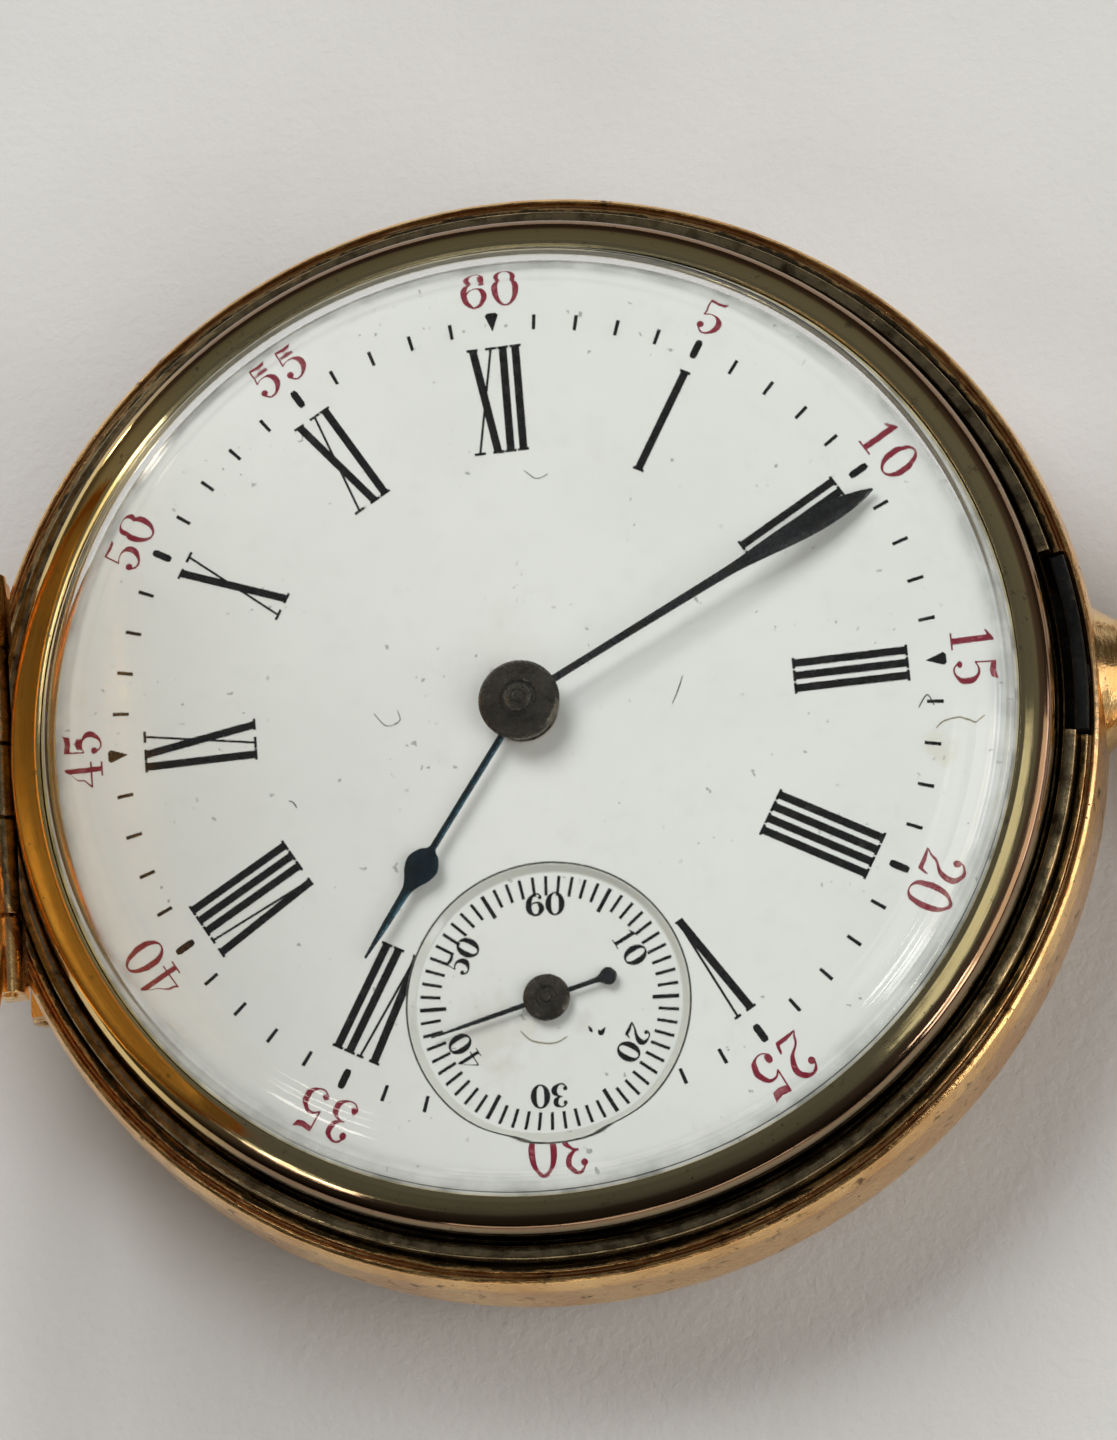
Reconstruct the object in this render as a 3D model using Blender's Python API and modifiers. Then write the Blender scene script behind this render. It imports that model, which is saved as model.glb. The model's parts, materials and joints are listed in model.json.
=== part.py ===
"""Hunter pocket watch, size 0, with its keyless lever movement.

The frame stands on the flat middle of the back cover: +Z goes up through the dial, +Y towards the
60 and +X along the pendant. Lengths are in millimetres in the constants and helpers, and MM turns
them into metres. Each named object is one physical piece, and every piece that turns has its origin,
or its parent empty, on its own axis.
"""

from math import asin, atan2, cos, hypot, pi, radians, sin, sqrt

import bpy
import bmesh
from mathutils import Matrix

MM = 0.001
TAU = 2 * pi
MERGE = 1e-6  # metres: far below the smallest real gap

# ---- driving dimensions, mm and degrees ----
ROUND = 32  # steps round the case shells
SMALL_ROUND = 10  # steps round pins, screws and hubs
THIN_ROUND = 8  # steps round arbors and their holes
CASE_RADIUS = 16.86  # at the widest line of the band
DIAL_RADIUS = 14.815  # a size 0 movement
DIAL_TOP = 7.6
DIAL_LOW = 6.8
SECONDS_Y = -8.7  # the small seconds axis
SECONDS_RADIUS = 4.05
STEM_Z = 3.7  # height of the pendant, stem and crown axis
LID_OPEN = 100.0  # degrees from shut
HINGE_X = -16.0
FRONT_HINGE_Z = 6.3
BACK_HINGE_Z = 1.7
KNUCKLE_RADIUS = 0.45
PIN_RADIUS = 0.2
PIN_PLAY = 0.03
HINGE_HALF = 6.65  # half the length of the hinge's recess
FRONT_PIN_HALF, BACK_PIN_HALF = 6.45, 6.25
CATCH_ARC = (-7.8, 11.2)  # degrees round the band, from the pendant
CATCH_SLOT_ARC = (-8.1, 11.9)
BOW_PIVOT_X = 19.1
BOW_WIRE = 0.72  # radius of the bow's wire
HOUR_HEADING, MINUTE_HEADING, SECONDS_HEADING = 215.9, 63.7, 256.8  # clockwise from the 60

# ---- levels of the movement, low and high, mm ----
WINDING_WHEELS = (1.5, 1.8)
BRIDGES = (1.85, 2.85)
COCK = (1.85, 2.4)
CENTER_WHEEL = (2.95, 3.1)
BARREL_TEETH = (3.25, 3.65)
BALANCE = (3.3, 3.6)
FOURTH_WHEEL = (3.5, 3.65)
BARREL_DRUM = (3.65, 5.3)
PALLET_BRIDGE = (3.75, 3.98)
ESCAPE_WHEEL = (4.1, 4.25)
THIRD_WHEEL = (4.35, 4.5)
PLATE = (4.7, 6.0)
MINUTE_WHEEL = (6.1, 6.25)
HOUR_WHEEL = (6.4, 6.55)
HOUR_HAND = (7.98, 8.1)
MINUTE_HAND = (8.58, 8.7)
SECONDS_HAND = (7.62, 7.72)
FOOT_LOW = 4.68  # where the bridges stand on the plate
PLATE_RADIUS = 14.8
STEM_RADIUS = 0.38
SCREW_HEAD, SCREW_SHANK = 0.6, 0.22

# ---- gear train: tooth counts and modules ----
BARREL_COUNT, BARREL_MODULE = 72, 0.16
CENTER_LEAVES = 9
CENTER_COUNT, CENTER_MODULE = 64, 0.15
THIRD_LEAVES = 8
THIRD_COUNT, THIRD_MODULE = 60, 0.13
FOURTH_LEAVES = 8
FOURTH_COUNT, FOURTH_MODULE = 60, 0.11
ESCAPE_LEAVES = 6
ESCAPE_COUNT, ESCAPE_RADIUS = 15, 1.85
CANNON_LEAVES, MINUTE_COUNT, MINUTE_LEAVES, HOUR_COUNT = 10, 30, 8, 32
MOTION_MODULE = 0.12
SETTING_COUNT = 24
WINDING_MODULE = 0.175
RATCHET_COUNT, CROWN_WHEEL_COUNT, WINDING_LEAVES = 50, 30, 23


def pitch_radius(count, module):
    return count * module / 2


def from_point(origin, distance, degrees):
    angle = radians(degrees)
    return (origin[0] + distance * cos(angle), origin[1] + distance * sin(angle))


def beside(origin, near, far, far_distance):
    """The point at a distance of near from the origin and far_distance from far, on the +X side."""
    gap = hypot(far[0] - origin[0], far[1] - origin[1])
    along = (near**2 - far_distance**2 + gap**2) / (2 * gap)
    across = sqrt(near**2 - along**2)
    ux, uy = (far[0] - origin[0]) / gap, (far[1] - origin[1]) / gap
    return (origin[0] + along * ux - across * uy, origin[1] + along * uy + across * ux)


# ---- axes of the movement, seen from the dial side ----
CENTER = (0.0, 0.0)
BARREL = from_point(CENTER, pitch_radius(BARREL_COUNT + CENTER_LEAVES, BARREL_MODULE), 56.26)
FOURTH = (0.0, SECONDS_Y)
THIRD = beside(
    CENTER,
    pitch_radius(CENTER_COUNT + THIRD_LEAVES, CENTER_MODULE),
    FOURTH,
    pitch_radius(THIRD_COUNT + FOURTH_LEAVES, THIRD_MODULE),
)
ESCAPE = from_point(FOURTH, pitch_radius(FOURTH_COUNT + ESCAPE_LEAVES, FOURTH_MODULE), 161.5)
BALANCE_AXIS = (-7.6, -3.3)
ESCAPE_TO_BALANCE = atan2(BALANCE_AXIS[1] - ESCAPE[1], BALANCE_AXIS[0] - ESCAPE[0])
PALLET = from_point(ESCAPE, 2.4, ESCAPE_TO_BALANCE * 180 / pi)
MINUTE_AXIS = (pitch_radius(CANNON_LEAVES + MINUTE_COUNT, MOTION_MODULE), 0.0)
SETTING_AXIS = (MINUTE_AXIS[0] + pitch_radius(MINUTE_COUNT + SETTING_COUNT, MOTION_MODULE), 0.0)
WINDING_SPAN = pitch_radius(RATCHET_COUNT + CROWN_WHEEL_COUNT, WINDING_MODULE)
CROWN_WHEEL = (BARREL[0] + sqrt(WINDING_SPAN**2 - BARREL[1] ** 2), 0.0)
WINDING_X = CROWN_WHEEL[0] + pitch_radius(CROWN_WHEEL_COUNT, WINDING_MODULE)

# ---- screws into the plate: name, distance from the centre, angle, the level under the head ----
COCK_HEADING = atan2(BALANCE_AXIS[1], BALANCE_AXIS[0]) * 180 / pi
PLATE_SCREWS = (
    ("barrel_bridge_screw_a", 13.4, 118, BRIDGES[0]),
    ("barrel_bridge_screw_b", 13.4, 54, BRIDGES[0]),
    ("train_bridge_screw", 13.4, -62, BRIDGES[0]),
    ("balance_cock_screw", 13.7, COCK_HEADING, COCK[0]),
    ("case_screw_1", 13.95, 172, 2.0),
    ("case_screw_2", 13.95, -22.5, 2.0),
)

# ---- finishes: colour, roughness, metallic ----
FINISHES = {
    "rose_gold": ((0.60, 0.30, 0.13), 0.30, 1.0),
    "yellow_gold": ((0.52, 0.40, 0.20), 0.22, 1.0),
    "enamel": ((0.84, 0.86, 0.84), 0.12, 0.0),
    "glass": ((0.90, 0.94, 0.93), 0.03, 0.0),
    "blued_steel": ((0.02, 0.025, 0.04), 0.25, 1.0),
    "bright_steel": ((0.55, 0.55, 0.56), 0.25, 1.0),
    "nickel": ((0.62, 0.60, 0.56), 0.32, 1.0),
    "brass": ((0.62, 0.45, 0.20), 0.30, 1.0),
}


# ---- helpers ----
def clear_scene():
    for obj in list(bpy.data.objects):
        bpy.data.objects.remove(obj, do_unlink=True)


def new_collection(name):
    collection = bpy.data.collections.new(name)
    bpy.context.scene.collection.children.link(collection)
    return collection


def material(slot):
    if slot not in bpy.data.materials:
        colour, roughness, metallic = FINISHES[slot]
        made = bpy.data.materials.new(slot)
        made.use_nodes = True
        shader = made.node_tree.nodes["Principled BSDF"]
        shader.inputs["Base Color"].default_value = (*colour, 1)
        shader.inputs["Roughness"].default_value = roughness
        shader.inputs["Metallic"].default_value = metallic
        made.diffuse_color = (*colour, 1)
    return bpy.data.materials[slot]


def add_object(name, data, slot, at=(0, 0, 0), turn=(0, 0, 0)):
    obj = bpy.data.objects.new(name, data)
    obj.location = [v * MM for v in at]
    obj.rotation_euler = turn
    data.materials.append(material(slot))
    WATCH.objects.link(obj)
    return obj


def turned(name, profile, slot, at=(0, 0, 0), turn=(0, 0, 0), steps=ROUND):
    """A solid turned round its own Z from (radius, height) points that run down its outer side."""
    mesh = bpy.data.meshes.new(name)
    points = [(r * MM, 0, z * MM) for r, z in profile]
    last = len(points) - 1
    edges = [(i, i + 1) for i in range(last)]
    if profile[0][0] > 0:
        edges.append((last, 0))
    mesh.from_pydata(points, edges, [])
    obj = add_object(name, mesh, slot, at, turn)
    screw = obj.modifiers.new("turn", "SCREW")
    screw.steps = steps
    screw.render_steps = steps
    screw.use_merge_vertices = True
    screw.merge_threshold = MERGE
    return obj


ALONG_X = (0, pi / 2, 0)
ALONG_Y = (-pi / 2, 0, 0)


def rod(name, radius, low, high, slot, at=(0, 0, 0), turn=(0, 0, 0), steps=SMALL_ROUND):
    return turned(name, [(0, high), (radius, high), (radius, low), (0, low)], slot, at, turn, steps)


def tube(name, radius, bore, low, high, slot, at=(0, 0, 0), turn=(0, 0, 0), steps=SMALL_ROUND):
    wall = [(radius, high), (radius, low), (bore, low), (bore, high)]
    return turned(name, wall, slot, at, turn, steps)


def flat(name, outlines, slot, levels, at=(0, 0)):
    """A flat piece between two levels. The first outline is its edge and the others are its holes."""
    low, high = levels
    curve = bpy.data.curves.new(name, "CURVE")
    curve.dimensions = "2D"
    curve.fill_mode = "BOTH"
    curve.extrude = (high - low) / 2 * MM
    for outline in outlines:
        spline = curve.splines.new("POLY")
        spline.points.add(len(outline) - 1)
        for point, (x, y) in zip(spline.points, outline):
            point.co = (x * MM, y * MM, 0, 1)
        spline.use_cyclic_u = True
    return add_object(name, curve, slot, (at[0], at[1], (low + high) / 2))


def block(name, low, high, slot):
    """A box between two corners."""
    mesh = bpy.data.meshes.new(name)
    form = bmesh.new()
    bmesh.ops.create_cube(form, size=1)
    size = [(b - a) * MM for a, b in zip(low, high)]
    bmesh.ops.scale(form, vec=size, verts=form.verts)
    form.to_mesh(mesh)
    form.free()
    return add_object(name, mesh, slot, [(a + b) / 2 for a, b in zip(low, high)])


def as_mesh(obj):
    """A curve or a turned piece as a plain closed mesh, so that it can be cut or joined."""
    bpy.context.view_layer.update()
    shape = obj.evaluated_get(bpy.context.evaluated_depsgraph_get())
    mesh = bpy.data.meshes.new_from_object(shape)
    form = bmesh.new()
    form.from_mesh(mesh)
    bmesh.ops.remove_doubles(form, verts=form.verts, dist=MERGE)
    form.to_mesh(mesh)
    form.free()
    name, place, slot = obj.name, obj.matrix_world.copy(), mesh.materials[0].name
    bpy.data.objects.remove(obj)
    mesh.materials.clear()
    solid = add_object(name, mesh, slot)
    solid.matrix_world = place
    return solid


def combine(solid, tools, operation):
    """Joins or cuts a mesh with tools, which go out of sight into the cutters' collection."""
    for tool in tools:
        cutter = as_mesh(tool)
        number = len(solid.modifiers)
        cutter.name = f"{solid.name}_{operation.lower()}_{number}"
        WATCH.objects.unlink(cutter)
        CUTTERS.objects.link(cutter)
        cutter.hide_render = True
        cutter.display_type = "WIRE"
        step = solid.modifiers.new(f"{operation.lower()}_{number}", "BOOLEAN")
        step.operation = operation
        step.object = cutter
    return solid


def joined(base, tools):
    return combine(as_mesh(base), tools, "UNION")


def cut(base, tools):
    return combine(as_mesh(base), tools, "DIFFERENCE")


def arc(radius, start, end, count, centre=(0, 0)):
    """Points on an arc, in degrees, both ends included."""
    step = (end - start) / (count - 1)
    return [from_point(centre, radius, start + step * i) for i in range(count)]


def circle(radius, count=SMALL_ROUND, centre=(0, 0)):
    return [from_point(centre, radius, 360 * i / count) for i in range(count)]


def sector(inner, outer, start, end, count):
    """The outline of a piece of a ring."""
    return arc(outer, start, end, count) + arc(inner, end, start, count)


def teeth(count, module, phase=0.0, tip=0.9, root=1.1):
    """A toothed edge: a pointed tooth with its tip at phase, in radians, and the rest round from it."""
    pitch = pitch_radius(count, module)
    points = []
    for i in range(count):
        angle = (phase + TAU * i / count) * 180 / pi
        points.append(from_point((0, 0), pitch + tip * module, angle))
        points.append(from_point((0, 0), pitch - root * module, angle + 180 / count))
    return points


def leaves(count, module, phase=0.0, tip=0.8, root=1.3):
    """A pinion's edge: flat-topped leaves, one of them centred on phase, in radians."""
    pitch = pitch_radius(count, module)
    points = []
    for i in range(count):
        for share, radius in ((-0.32, -root), (-0.14, tip), (0.14, tip), (0.32, -root)):
            angle = phase + TAU * (i + share) / count
            points.append(from_point((0, 0), pitch + radius * module, angle * 180 / pi))
    return points


def windows(count, inner, outer, arm, turn=0.0, points=5):
    """The openings between the arms of a wheel, each arm as wide as arm."""
    holes = []
    for i in range(count):
        middle, half = turn + 360 * (i + 0.5) / count, 180 / count
        out = half - asin(arm / 2 / outer) * 180 / pi
        into = half - asin(arm / 2 / inner) * 180 / pi
        hole = arc(outer, middle - out, middle + out, points)
        hole += arc(inner, middle + into, middle - into, 3)
        holes.append(hole)
    return holes


def spiral(inner, outer, turns, thickness, per_turn, start=0.0):
    """The outline of a flat coiled strip."""
    count = int(turns * per_turn) + 1
    out, back = [], []
    for i in range(count):
        angle = start + 360 * i / per_turn
        radius = inner + (outer - inner) * i / (count - 1)
        out.append(from_point((0, 0), radius + thickness / 2, angle))
        back.append(from_point((0, 0), radius - thickness / 2, angle))
    return out + back[::-1]


def direction(a, b):
    return atan2(b[1] - a[1], b[0] - a[0])


def in_mesh(count_a, phase_a, count_b, heading):
    """The phase of gear b that sets its gap on gear a's tooth. heading runs from a's axis to b's."""
    pitch_a = TAU / count_a
    lead = (phase_a - heading + pitch_a / 2) % pitch_a - pitch_a / 2
    return heading + pi - lead * count_a / count_b + pi / count_b


def hang(pieces, name, at, turn):
    """Parents pieces, and what cuts them, to an empty on their hinge line, then swings it."""
    pivot = bpy.data.objects.new(name, None)
    pivot.location = [v * MM for v in at]
    WATCH.objects.link(pivot)
    for piece in pieces:
        tools = [step.object for step in piece.modifiers if step.type == "BOOLEAN"]
        for child in [piece, *tools]:
            child.parent = pivot
            child.matrix_parent_inverse = Matrix.Translation(pivot.location).inverted()
    pivot.rotation_euler = turn
    return pivot


def screw(name, at, head, shank, length, head_height=0.3):
    """A slotted screw that points up, with its head's underside at the given place."""
    slot = "blued_steel"
    profile = [
        (0, length),
        (shank, length),
        (shank, 0),
        (head, 0),
        (head, -head_height * 0.7),
        (head * 0.85, -head_height),
        (0, -head_height),
    ]
    body = turned(name, profile, slot, at, steps=THIN_ROUND)
    x, y, z = at
    width, depth = head * 0.16, head_height * 0.45
    low = (x - head * 1.2, y - width, z - head_height * 1.2)
    high = (x + head * 1.2, y + width, z - head_height + depth)
    return cut(body, [block(name + "_slot", low, high, slot)])


# ---- the case ----
def knuckle(name, y_low, y_high, z, radius=KNUCKLE_RADIUS):
    return rod(name, radius, y_low, y_high, "rose_gold", (HINGE_X, 0, z), ALONG_Y)


def hinge_bore(name, z):
    half = HINGE_HALF + 0.85
    return rod(name, PIN_RADIUS + PIN_PLAY, -half, half, "rose_gold", (HINGE_X, 0, z), ALONG_Y)


FRONT_CASE_KNUCKLES = ((-6.5, -4.2), (-1.1, 1.1), (4.2, 6.5))
FRONT_LID_KNUCKLES = ((-4.1, -1.2), (1.2, 4.1))
BACK_CASE_KNUCKLES = ((-6.3, -4.5), (4.5, 6.3))
BACK_LID_KNUCKLES = ((-4.4, -1.6), (1.6, 4.4))
DUST_KNUCKLE = (-1.5, 1.5)


def webbed_knuckles(label, ranges, z, web_low, web_high):
    """Knuckles with a small web each, which joins them to the wall beside them."""
    pieces = []
    for i, (y_low, y_high) in enumerate(ranges):
        pieces.append(knuckle(f"{label}_knuckle_{i}", y_low, y_high, z))
        low, high = (web_low[0], y_low + 0.02, web_low[1]), (web_high[0], y_high - 0.02, web_high[1])
        pieces.append(block(f"{label}_web_{i}", low, high, "rose_gold"))
    return pieces


def case_middle():
    """The band: rim, snap ring, spring groove and the ledge that the movement rests on."""
    profile = [
        (16.2, 6.1),
        (16.6, 6.1),
        (16.78, 5.5),
        (CASE_RADIUS, 3.3),
        (16.7, 2.5),
        (16.45, 2.0),
        (14.3, 2.0),
        (14.3, 4.65),
        (15.6, 4.65),
        (15.6, 5.7),
        (14.95, 5.7),
        (14.95, 6.2),
        (15.55, 6.2),
        (15.62, 6.6),
        (16.0, 6.6),
        (16.08, 5.9),
    ]
    band = turned("case_middle", profile, "rose_gold")
    pockets = [
        block("front_pocket", (-18, -HINGE_HALF, 5.6), (-15.5, HINGE_HALF, 7), "rose_gold"),
        block("back_pocket", (-18, -HINGE_HALF, 1.5), (-15.5, HINGE_HALF, 2.35), "rose_gold"),
        flat("catch_slot", [sector(15.7, 16.42, *CATCH_SLOT_ARC, 5)], "rose_gold", (4.6, 7)),
        flat("catch_groove", [sector(15.5, 16.0, -12, 12, 5)], "rose_gold", (4.65, 5.68)),
        rod("stem_hole", 1.0, 13, 18, "rose_gold", (0, 0, STEM_Z), ALONG_X),
    ]
    band = cut(band, pockets)
    front = webbed_knuckles("front_case", FRONT_CASE_KNUCKLES, FRONT_HINGE_Z, (-16.35, 5.4), (-15.65, 5.98))
    back = webbed_knuckles("back_case", BACK_CASE_KNUCKLES, BACK_HINGE_Z, (-16.3, 2.0), (-15.4, 2.5))
    band = combine(band, front + back, "UNION")
    bores = [hinge_bore("front_bore", FRONT_HINGE_Z), hinge_bore("back_bore", BACK_HINGE_Z)]
    return combine(band, bores, "DIFFERENCE")


def front_cover():
    profile = [
        (0, 10.35),
        (5, 10.3),
        (9.5, 10.12),
        (12.8, 9.7),
        (15.0, 8.9),
        (16.2, 7.8),
        (16.58, 6.95),
        (16.6, 6.2),
        (16.2, 6.2),
        (16.15, 6.95),
        (15.8, 7.65),
        (14.75, 8.6),
        (12.6, 9.32),
        (9.4, 9.73),
        (5, 9.9),
        (0, 9.95),
    ]
    lid = turned("front_cover", profile, "rose_gold")
    cuts = [
        block("lid_gap", (-18, -HINGE_HALF, 6), (-15.4, HINGE_HALF, 6.95), "rose_gold"),
        block("lid_flat", (-18, -HINGE_HALF, 6), (-16.4, HINGE_HALF, 7.6), "rose_gold"),
        flat("catch_notch", [sector(15.9, 16.4, -12, 12, 5)], "rose_gold", (6.0, 6.6)),
    ]
    lid = cut(lid, cuts)
    knuckles = webbed_knuckles("lid", FRONT_LID_KNUCKLES, FRONT_HINGE_Z, (-16.3, 6.4), (-15.75, 7.3))
    lid = combine(lid, knuckles, "UNION")
    lid = combine(lid, [hinge_bore("lid_bore", FRONT_HINGE_Z)], "DIFFERENCE")
    hang([lid], "front_hinge_line", (HINGE_X, 0, FRONT_HINGE_Z), (0, -radians(LID_OPEN), 0))


def back_cover():
    profile = [
        (0, 0.4),
        (9.4, 0.4),
        (11.9, 0.52),
        (13.8, 0.82),
        (15.2, 1.25),
        (15.95, 1.7),
        (16.05, 1.95),
        (16.45, 1.95),
        (16.2, 1.4),
        (15.5, 0.9),
        (14.0, 0.42),
        (12.0, 0.12),
        (9.5, 0),
        (0, 0),
    ]
    lid = turned("back_cover", profile, "rose_gold")
    cuts = [
        block("back_gap", (-18, -HINGE_HALF, 1.2), (-15.3, HINGE_HALF, 3), "rose_gold"),
        block("back_flat", (-18, -HINGE_HALF, 0.5), (-15.9, HINGE_HALF, 3), "rose_gold"),
    ]
    lid = cut(lid, cuts)
    knuckles = webbed_knuckles("back", BACK_LID_KNUCKLES, BACK_HINGE_Z, (-15.9, 0.95), (-15.4, 1.6))
    lid = combine(lid, knuckles, "UNION")
    lid = combine(lid, [hinge_bore("back_lid_bore", BACK_HINGE_Z)], "DIFFERENCE")
    hang([lid], "back_hinge_line", (HINGE_X, 0, BACK_HINGE_Z), (0, 0, 0))


def dust_cover():
    """The inner lid over the movement, on the back cover's pin."""
    profile = [
        (0, 0.9),
        (9.3, 0.9),
        (11.7, 1.0),
        (13.5, 1.3),
        (14.8, 1.7),
        (15.3, 1.95),
        (15.7, 1.95),
        (15.0, 1.5),
        (13.7, 1.08),
        (11.8, 0.77),
        (9.4, 0.65),
        (0, 0.65),
    ]
    lid = turned("dust_cover", profile, "yellow_gold")
    gap = block("dust_gap", (-18, -HINGE_HALF, 1.2), (-15.3, HINGE_HALF, 3), "yellow_gold")
    lid = cut(lid, [gap])
    low, high = DUST_KNUCKLE
    tools = [
        knuckle("dust_knuckle", low, high, BACK_HINGE_Z),
        block("dust_web", (-15.85, low + 0.02, 1.55), (-14.9, high - 0.02, 1.85), "yellow_gold"),
    ]
    lid = combine(lid, tools, "UNION")
    lid = combine(lid, [hinge_bore("dust_bore", BACK_HINGE_Z)], "DIFFERENCE")
    hang([lid], "dust_hinge_line", (HINGE_X, 0, BACK_HINGE_Z), (0, 0, 0))


def hinge_pins():
    pins = (
        ("front_hinge_pin", FRONT_HINGE_Z, FRONT_PIN_HALF),
        ("back_hinge_pin", BACK_HINGE_Z, BACK_PIN_HALF),
    )
    for name, z, half in pins:
        rod(name, PIN_RADIUS, -half, half, "rose_gold", (HINGE_X, 0, z), ALONG_Y)


def bezel():
    profile = [
        (14.33, 7.84),
        (14.6, 7.82),
        (14.95, 7.66),
        (15.25, 7.3),
        (15.42, 6.9),
        (15.45, 6.25),
        (14.98, 6.25),
        (14.9, 7.6),
        (14.33, 7.64),
    ]
    turned("bezel", profile, "yellow_gold")


def crystal():
    profile = [
        (0, 9.7),
        (5, 9.65),
        (9, 9.5),
        (12, 9.2),
        (13.6, 8.75),
        (14.15, 8.2),
        (14.3, 7.68),
        (13.6, 7.68),
        (13.5, 8.1),
        (12.9, 8.5),
        (11.5, 8.85),
        (8.6, 9.1),
        (4.8, 9.25),
        (0, 9.3),
    ]
    turned("crystal", profile, "glass")


def pendant():
    """The neck on the band, with the sockets that the bow turns in, and the sleeve inside it."""
    profile = [
        (1.62, 20.3),
        (1.75, 20.1),
        (1.95, 19.6),
        (2.05, BOW_PIVOT_X),
        (1.95, 18.6),
        (1.7, 17.9),
        (1.72, 17.3),
        (1.95, 16.92),
        (0.9, 16.92),
        (0.9, 20.3),
    ]
    neck = turned("pendant_tube", profile, "rose_gold", (0, 0, STEM_Z), ALONG_X, steps=20)
    socket = rod("bow_socket", 0.42, -3, 3, "rose_gold", (BOW_PIVOT_X, 0, STEM_Z), ALONG_Y, steps=12)
    cut(neck, [socket])
    tube("stem_sleeve", 0.85, 0.45, 15.7, 18.5, "bright_steel", (0, 0, STEM_Z), ALONG_X)


def bow():
    """The loop that a chain clips to. Its ends turn in the pendant's sockets."""
    side = [
        (BOW_PIVOT_X, 1.35),
        (BOW_PIVOT_X, 2.6),
        (19.3, 3.5),
        (20.2, 4.6),
        (21.9, 5.4),
        (23.9, 5.4),
        (25.8, 4.4),
        (27.1, 2.5),
        (27.6, 0),
    ]
    route = side + [(x, -y) for x, y in side[-2::-1]]
    curve = bpy.data.curves.new("bow", "CURVE")
    curve.dimensions = "3D"
    curve.bevel_depth = BOW_WIRE * MM
    curve.bevel_resolution = 2
    curve.use_fill_caps = True
    spline = curve.splines.new("POLY")
    spline.points.add(len(route) - 1)
    for point, (x, y) in zip(spline.points, route):
        point.co = ((x - BOW_PIVOT_X) * MM, y * MM, 0, 1)
        point.radius = 0.5 if abs(y) < 3 and x < 20 else 1
    add_object("bow", curve, "rose_gold", (BOW_PIVOT_X, 0, STEM_Z))


def crown_and_stem():
    """The fluted crown and its stem, which slide and turn together in the pendant."""
    start, end, ridges, ridge_top, ridge_root = 20.45, 22.5, 20, 2.2, 2.02
    rim = []
    for i in range(2 * ridges):
        rim.append(from_point((0, 0), ridge_top if i % 2 else ridge_root, 180 * i / ridges))
    fluted = as_mesh(flat("crown", [rim], "yellow_gold", (start + 0.3, end - 0.35)))
    fluted.rotation_euler = ALONG_X
    fluted.location = ((start + end - 0.05) / 2 * MM, 0, STEM_Z * MM)
    cap = [
        (0, end),
        (0.9, end - 0.05),
        (1.6, end - 0.2),
        (2.0, end - 0.5),
        (2.0, start + 0.4),
        (1.7, start),
        (0.4, start),
        (0, start),
    ]
    core = turned("crown_core", cap, "yellow_gold", (0, 0, STEM_Z), ALONG_X, steps=16)
    hole = rod("crown_hole", 0.42, 19, 21.5, "yellow_gold", (0, 0, STEM_Z), ALONG_X, steps=12)
    combine(joined(fluted, [core]), [hole], "DIFFERENCE")
    stem = [
        (0, 21.3),
        (STEM_RADIUS, 21.3),
        (STEM_RADIUS, 17.2),
        (0.28, 17.1),
        (0.28, 16.8),
        (STEM_RADIUS, 16.7),
        (STEM_RADIUS, 10.2),
        (0.2, 10.1),
        (0.2, 9.6),
        (0, 9.6),
    ]
    turned("winding_stem", stem, "bright_steel", (0, 0, STEM_Z), ALONG_X, steps=12)


def case_springs():
    """The lift spring behind the hinge side and the lock spring with its catch at the pendant."""
    flat("lift_spring", [sector(15.1, 15.42, 188, 262, 12)], "blued_steel", (4.8, 5.5))
    pivot = from_point((0, 0), 15.35, -60)
    strip = flat("lock_spring", [sector(15.2, 15.5, -62, 9, 12)], "blued_steel", (4.8, 5.5))
    catch = flat("catch", [sector(15.97, 16.33, *CATCH_ARC, 6)], "blued_steel", (4.9, 6.42))
    web = flat("catch_web", [sector(15.4, 16.1, -8, 8, 4)], "blued_steel", (4.85, 5.45))
    spring = joined(strip, [catch, web])
    hang([spring], "lock_spring_line", (*pivot, 0), (0, 0, 0))


# ---- dial and hands ----
def dial():
    hole = circle(SECONDS_RADIUS, 32, (0, SECONDS_Y))
    flat("dial", [circle(DIAL_RADIUS, 48), hole, circle(1.0)], "enamel", (DIAL_LOW, DIAL_TOP))
    disc = [circle(SECONDS_RADIUS - 0.03, 32), circle(0.3, 10)]
    flat("seconds_dial", disc, "enamel", (DIAL_LOW, DIAL_TOP - 0.2), FOURTH)


def hand(name, side, levels, heading, hub, hub_levels, bore, at=CENTER, tail=()):
    """A hand from the half widths down its length. heading is in degrees clockwise from the 60."""
    outline = [(w, r) for r, w in side] + [(-w, r) for r, w in side[::-1]]
    outline += [(-w, -r) for r, w in tail] + [(w, -r) for r, w in tail[::-1]]
    blade = as_mesh(flat(name, [outline], "blued_steel", levels, at))
    blade.rotation_euler = (0, 0, -radians(heading))
    boss = tube(name + "_hub", hub, bore, *hub_levels, "blued_steel", (*at, 0), steps=16)
    hole = rod(name + "_bore", bore, hub_levels[0] - 1, hub_levels[1] + 1, "blued_steel", (*at, 0))
    combine(blade, [boss], "UNION")
    combine(blade, [hole], "DIFFERENCE")


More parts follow.
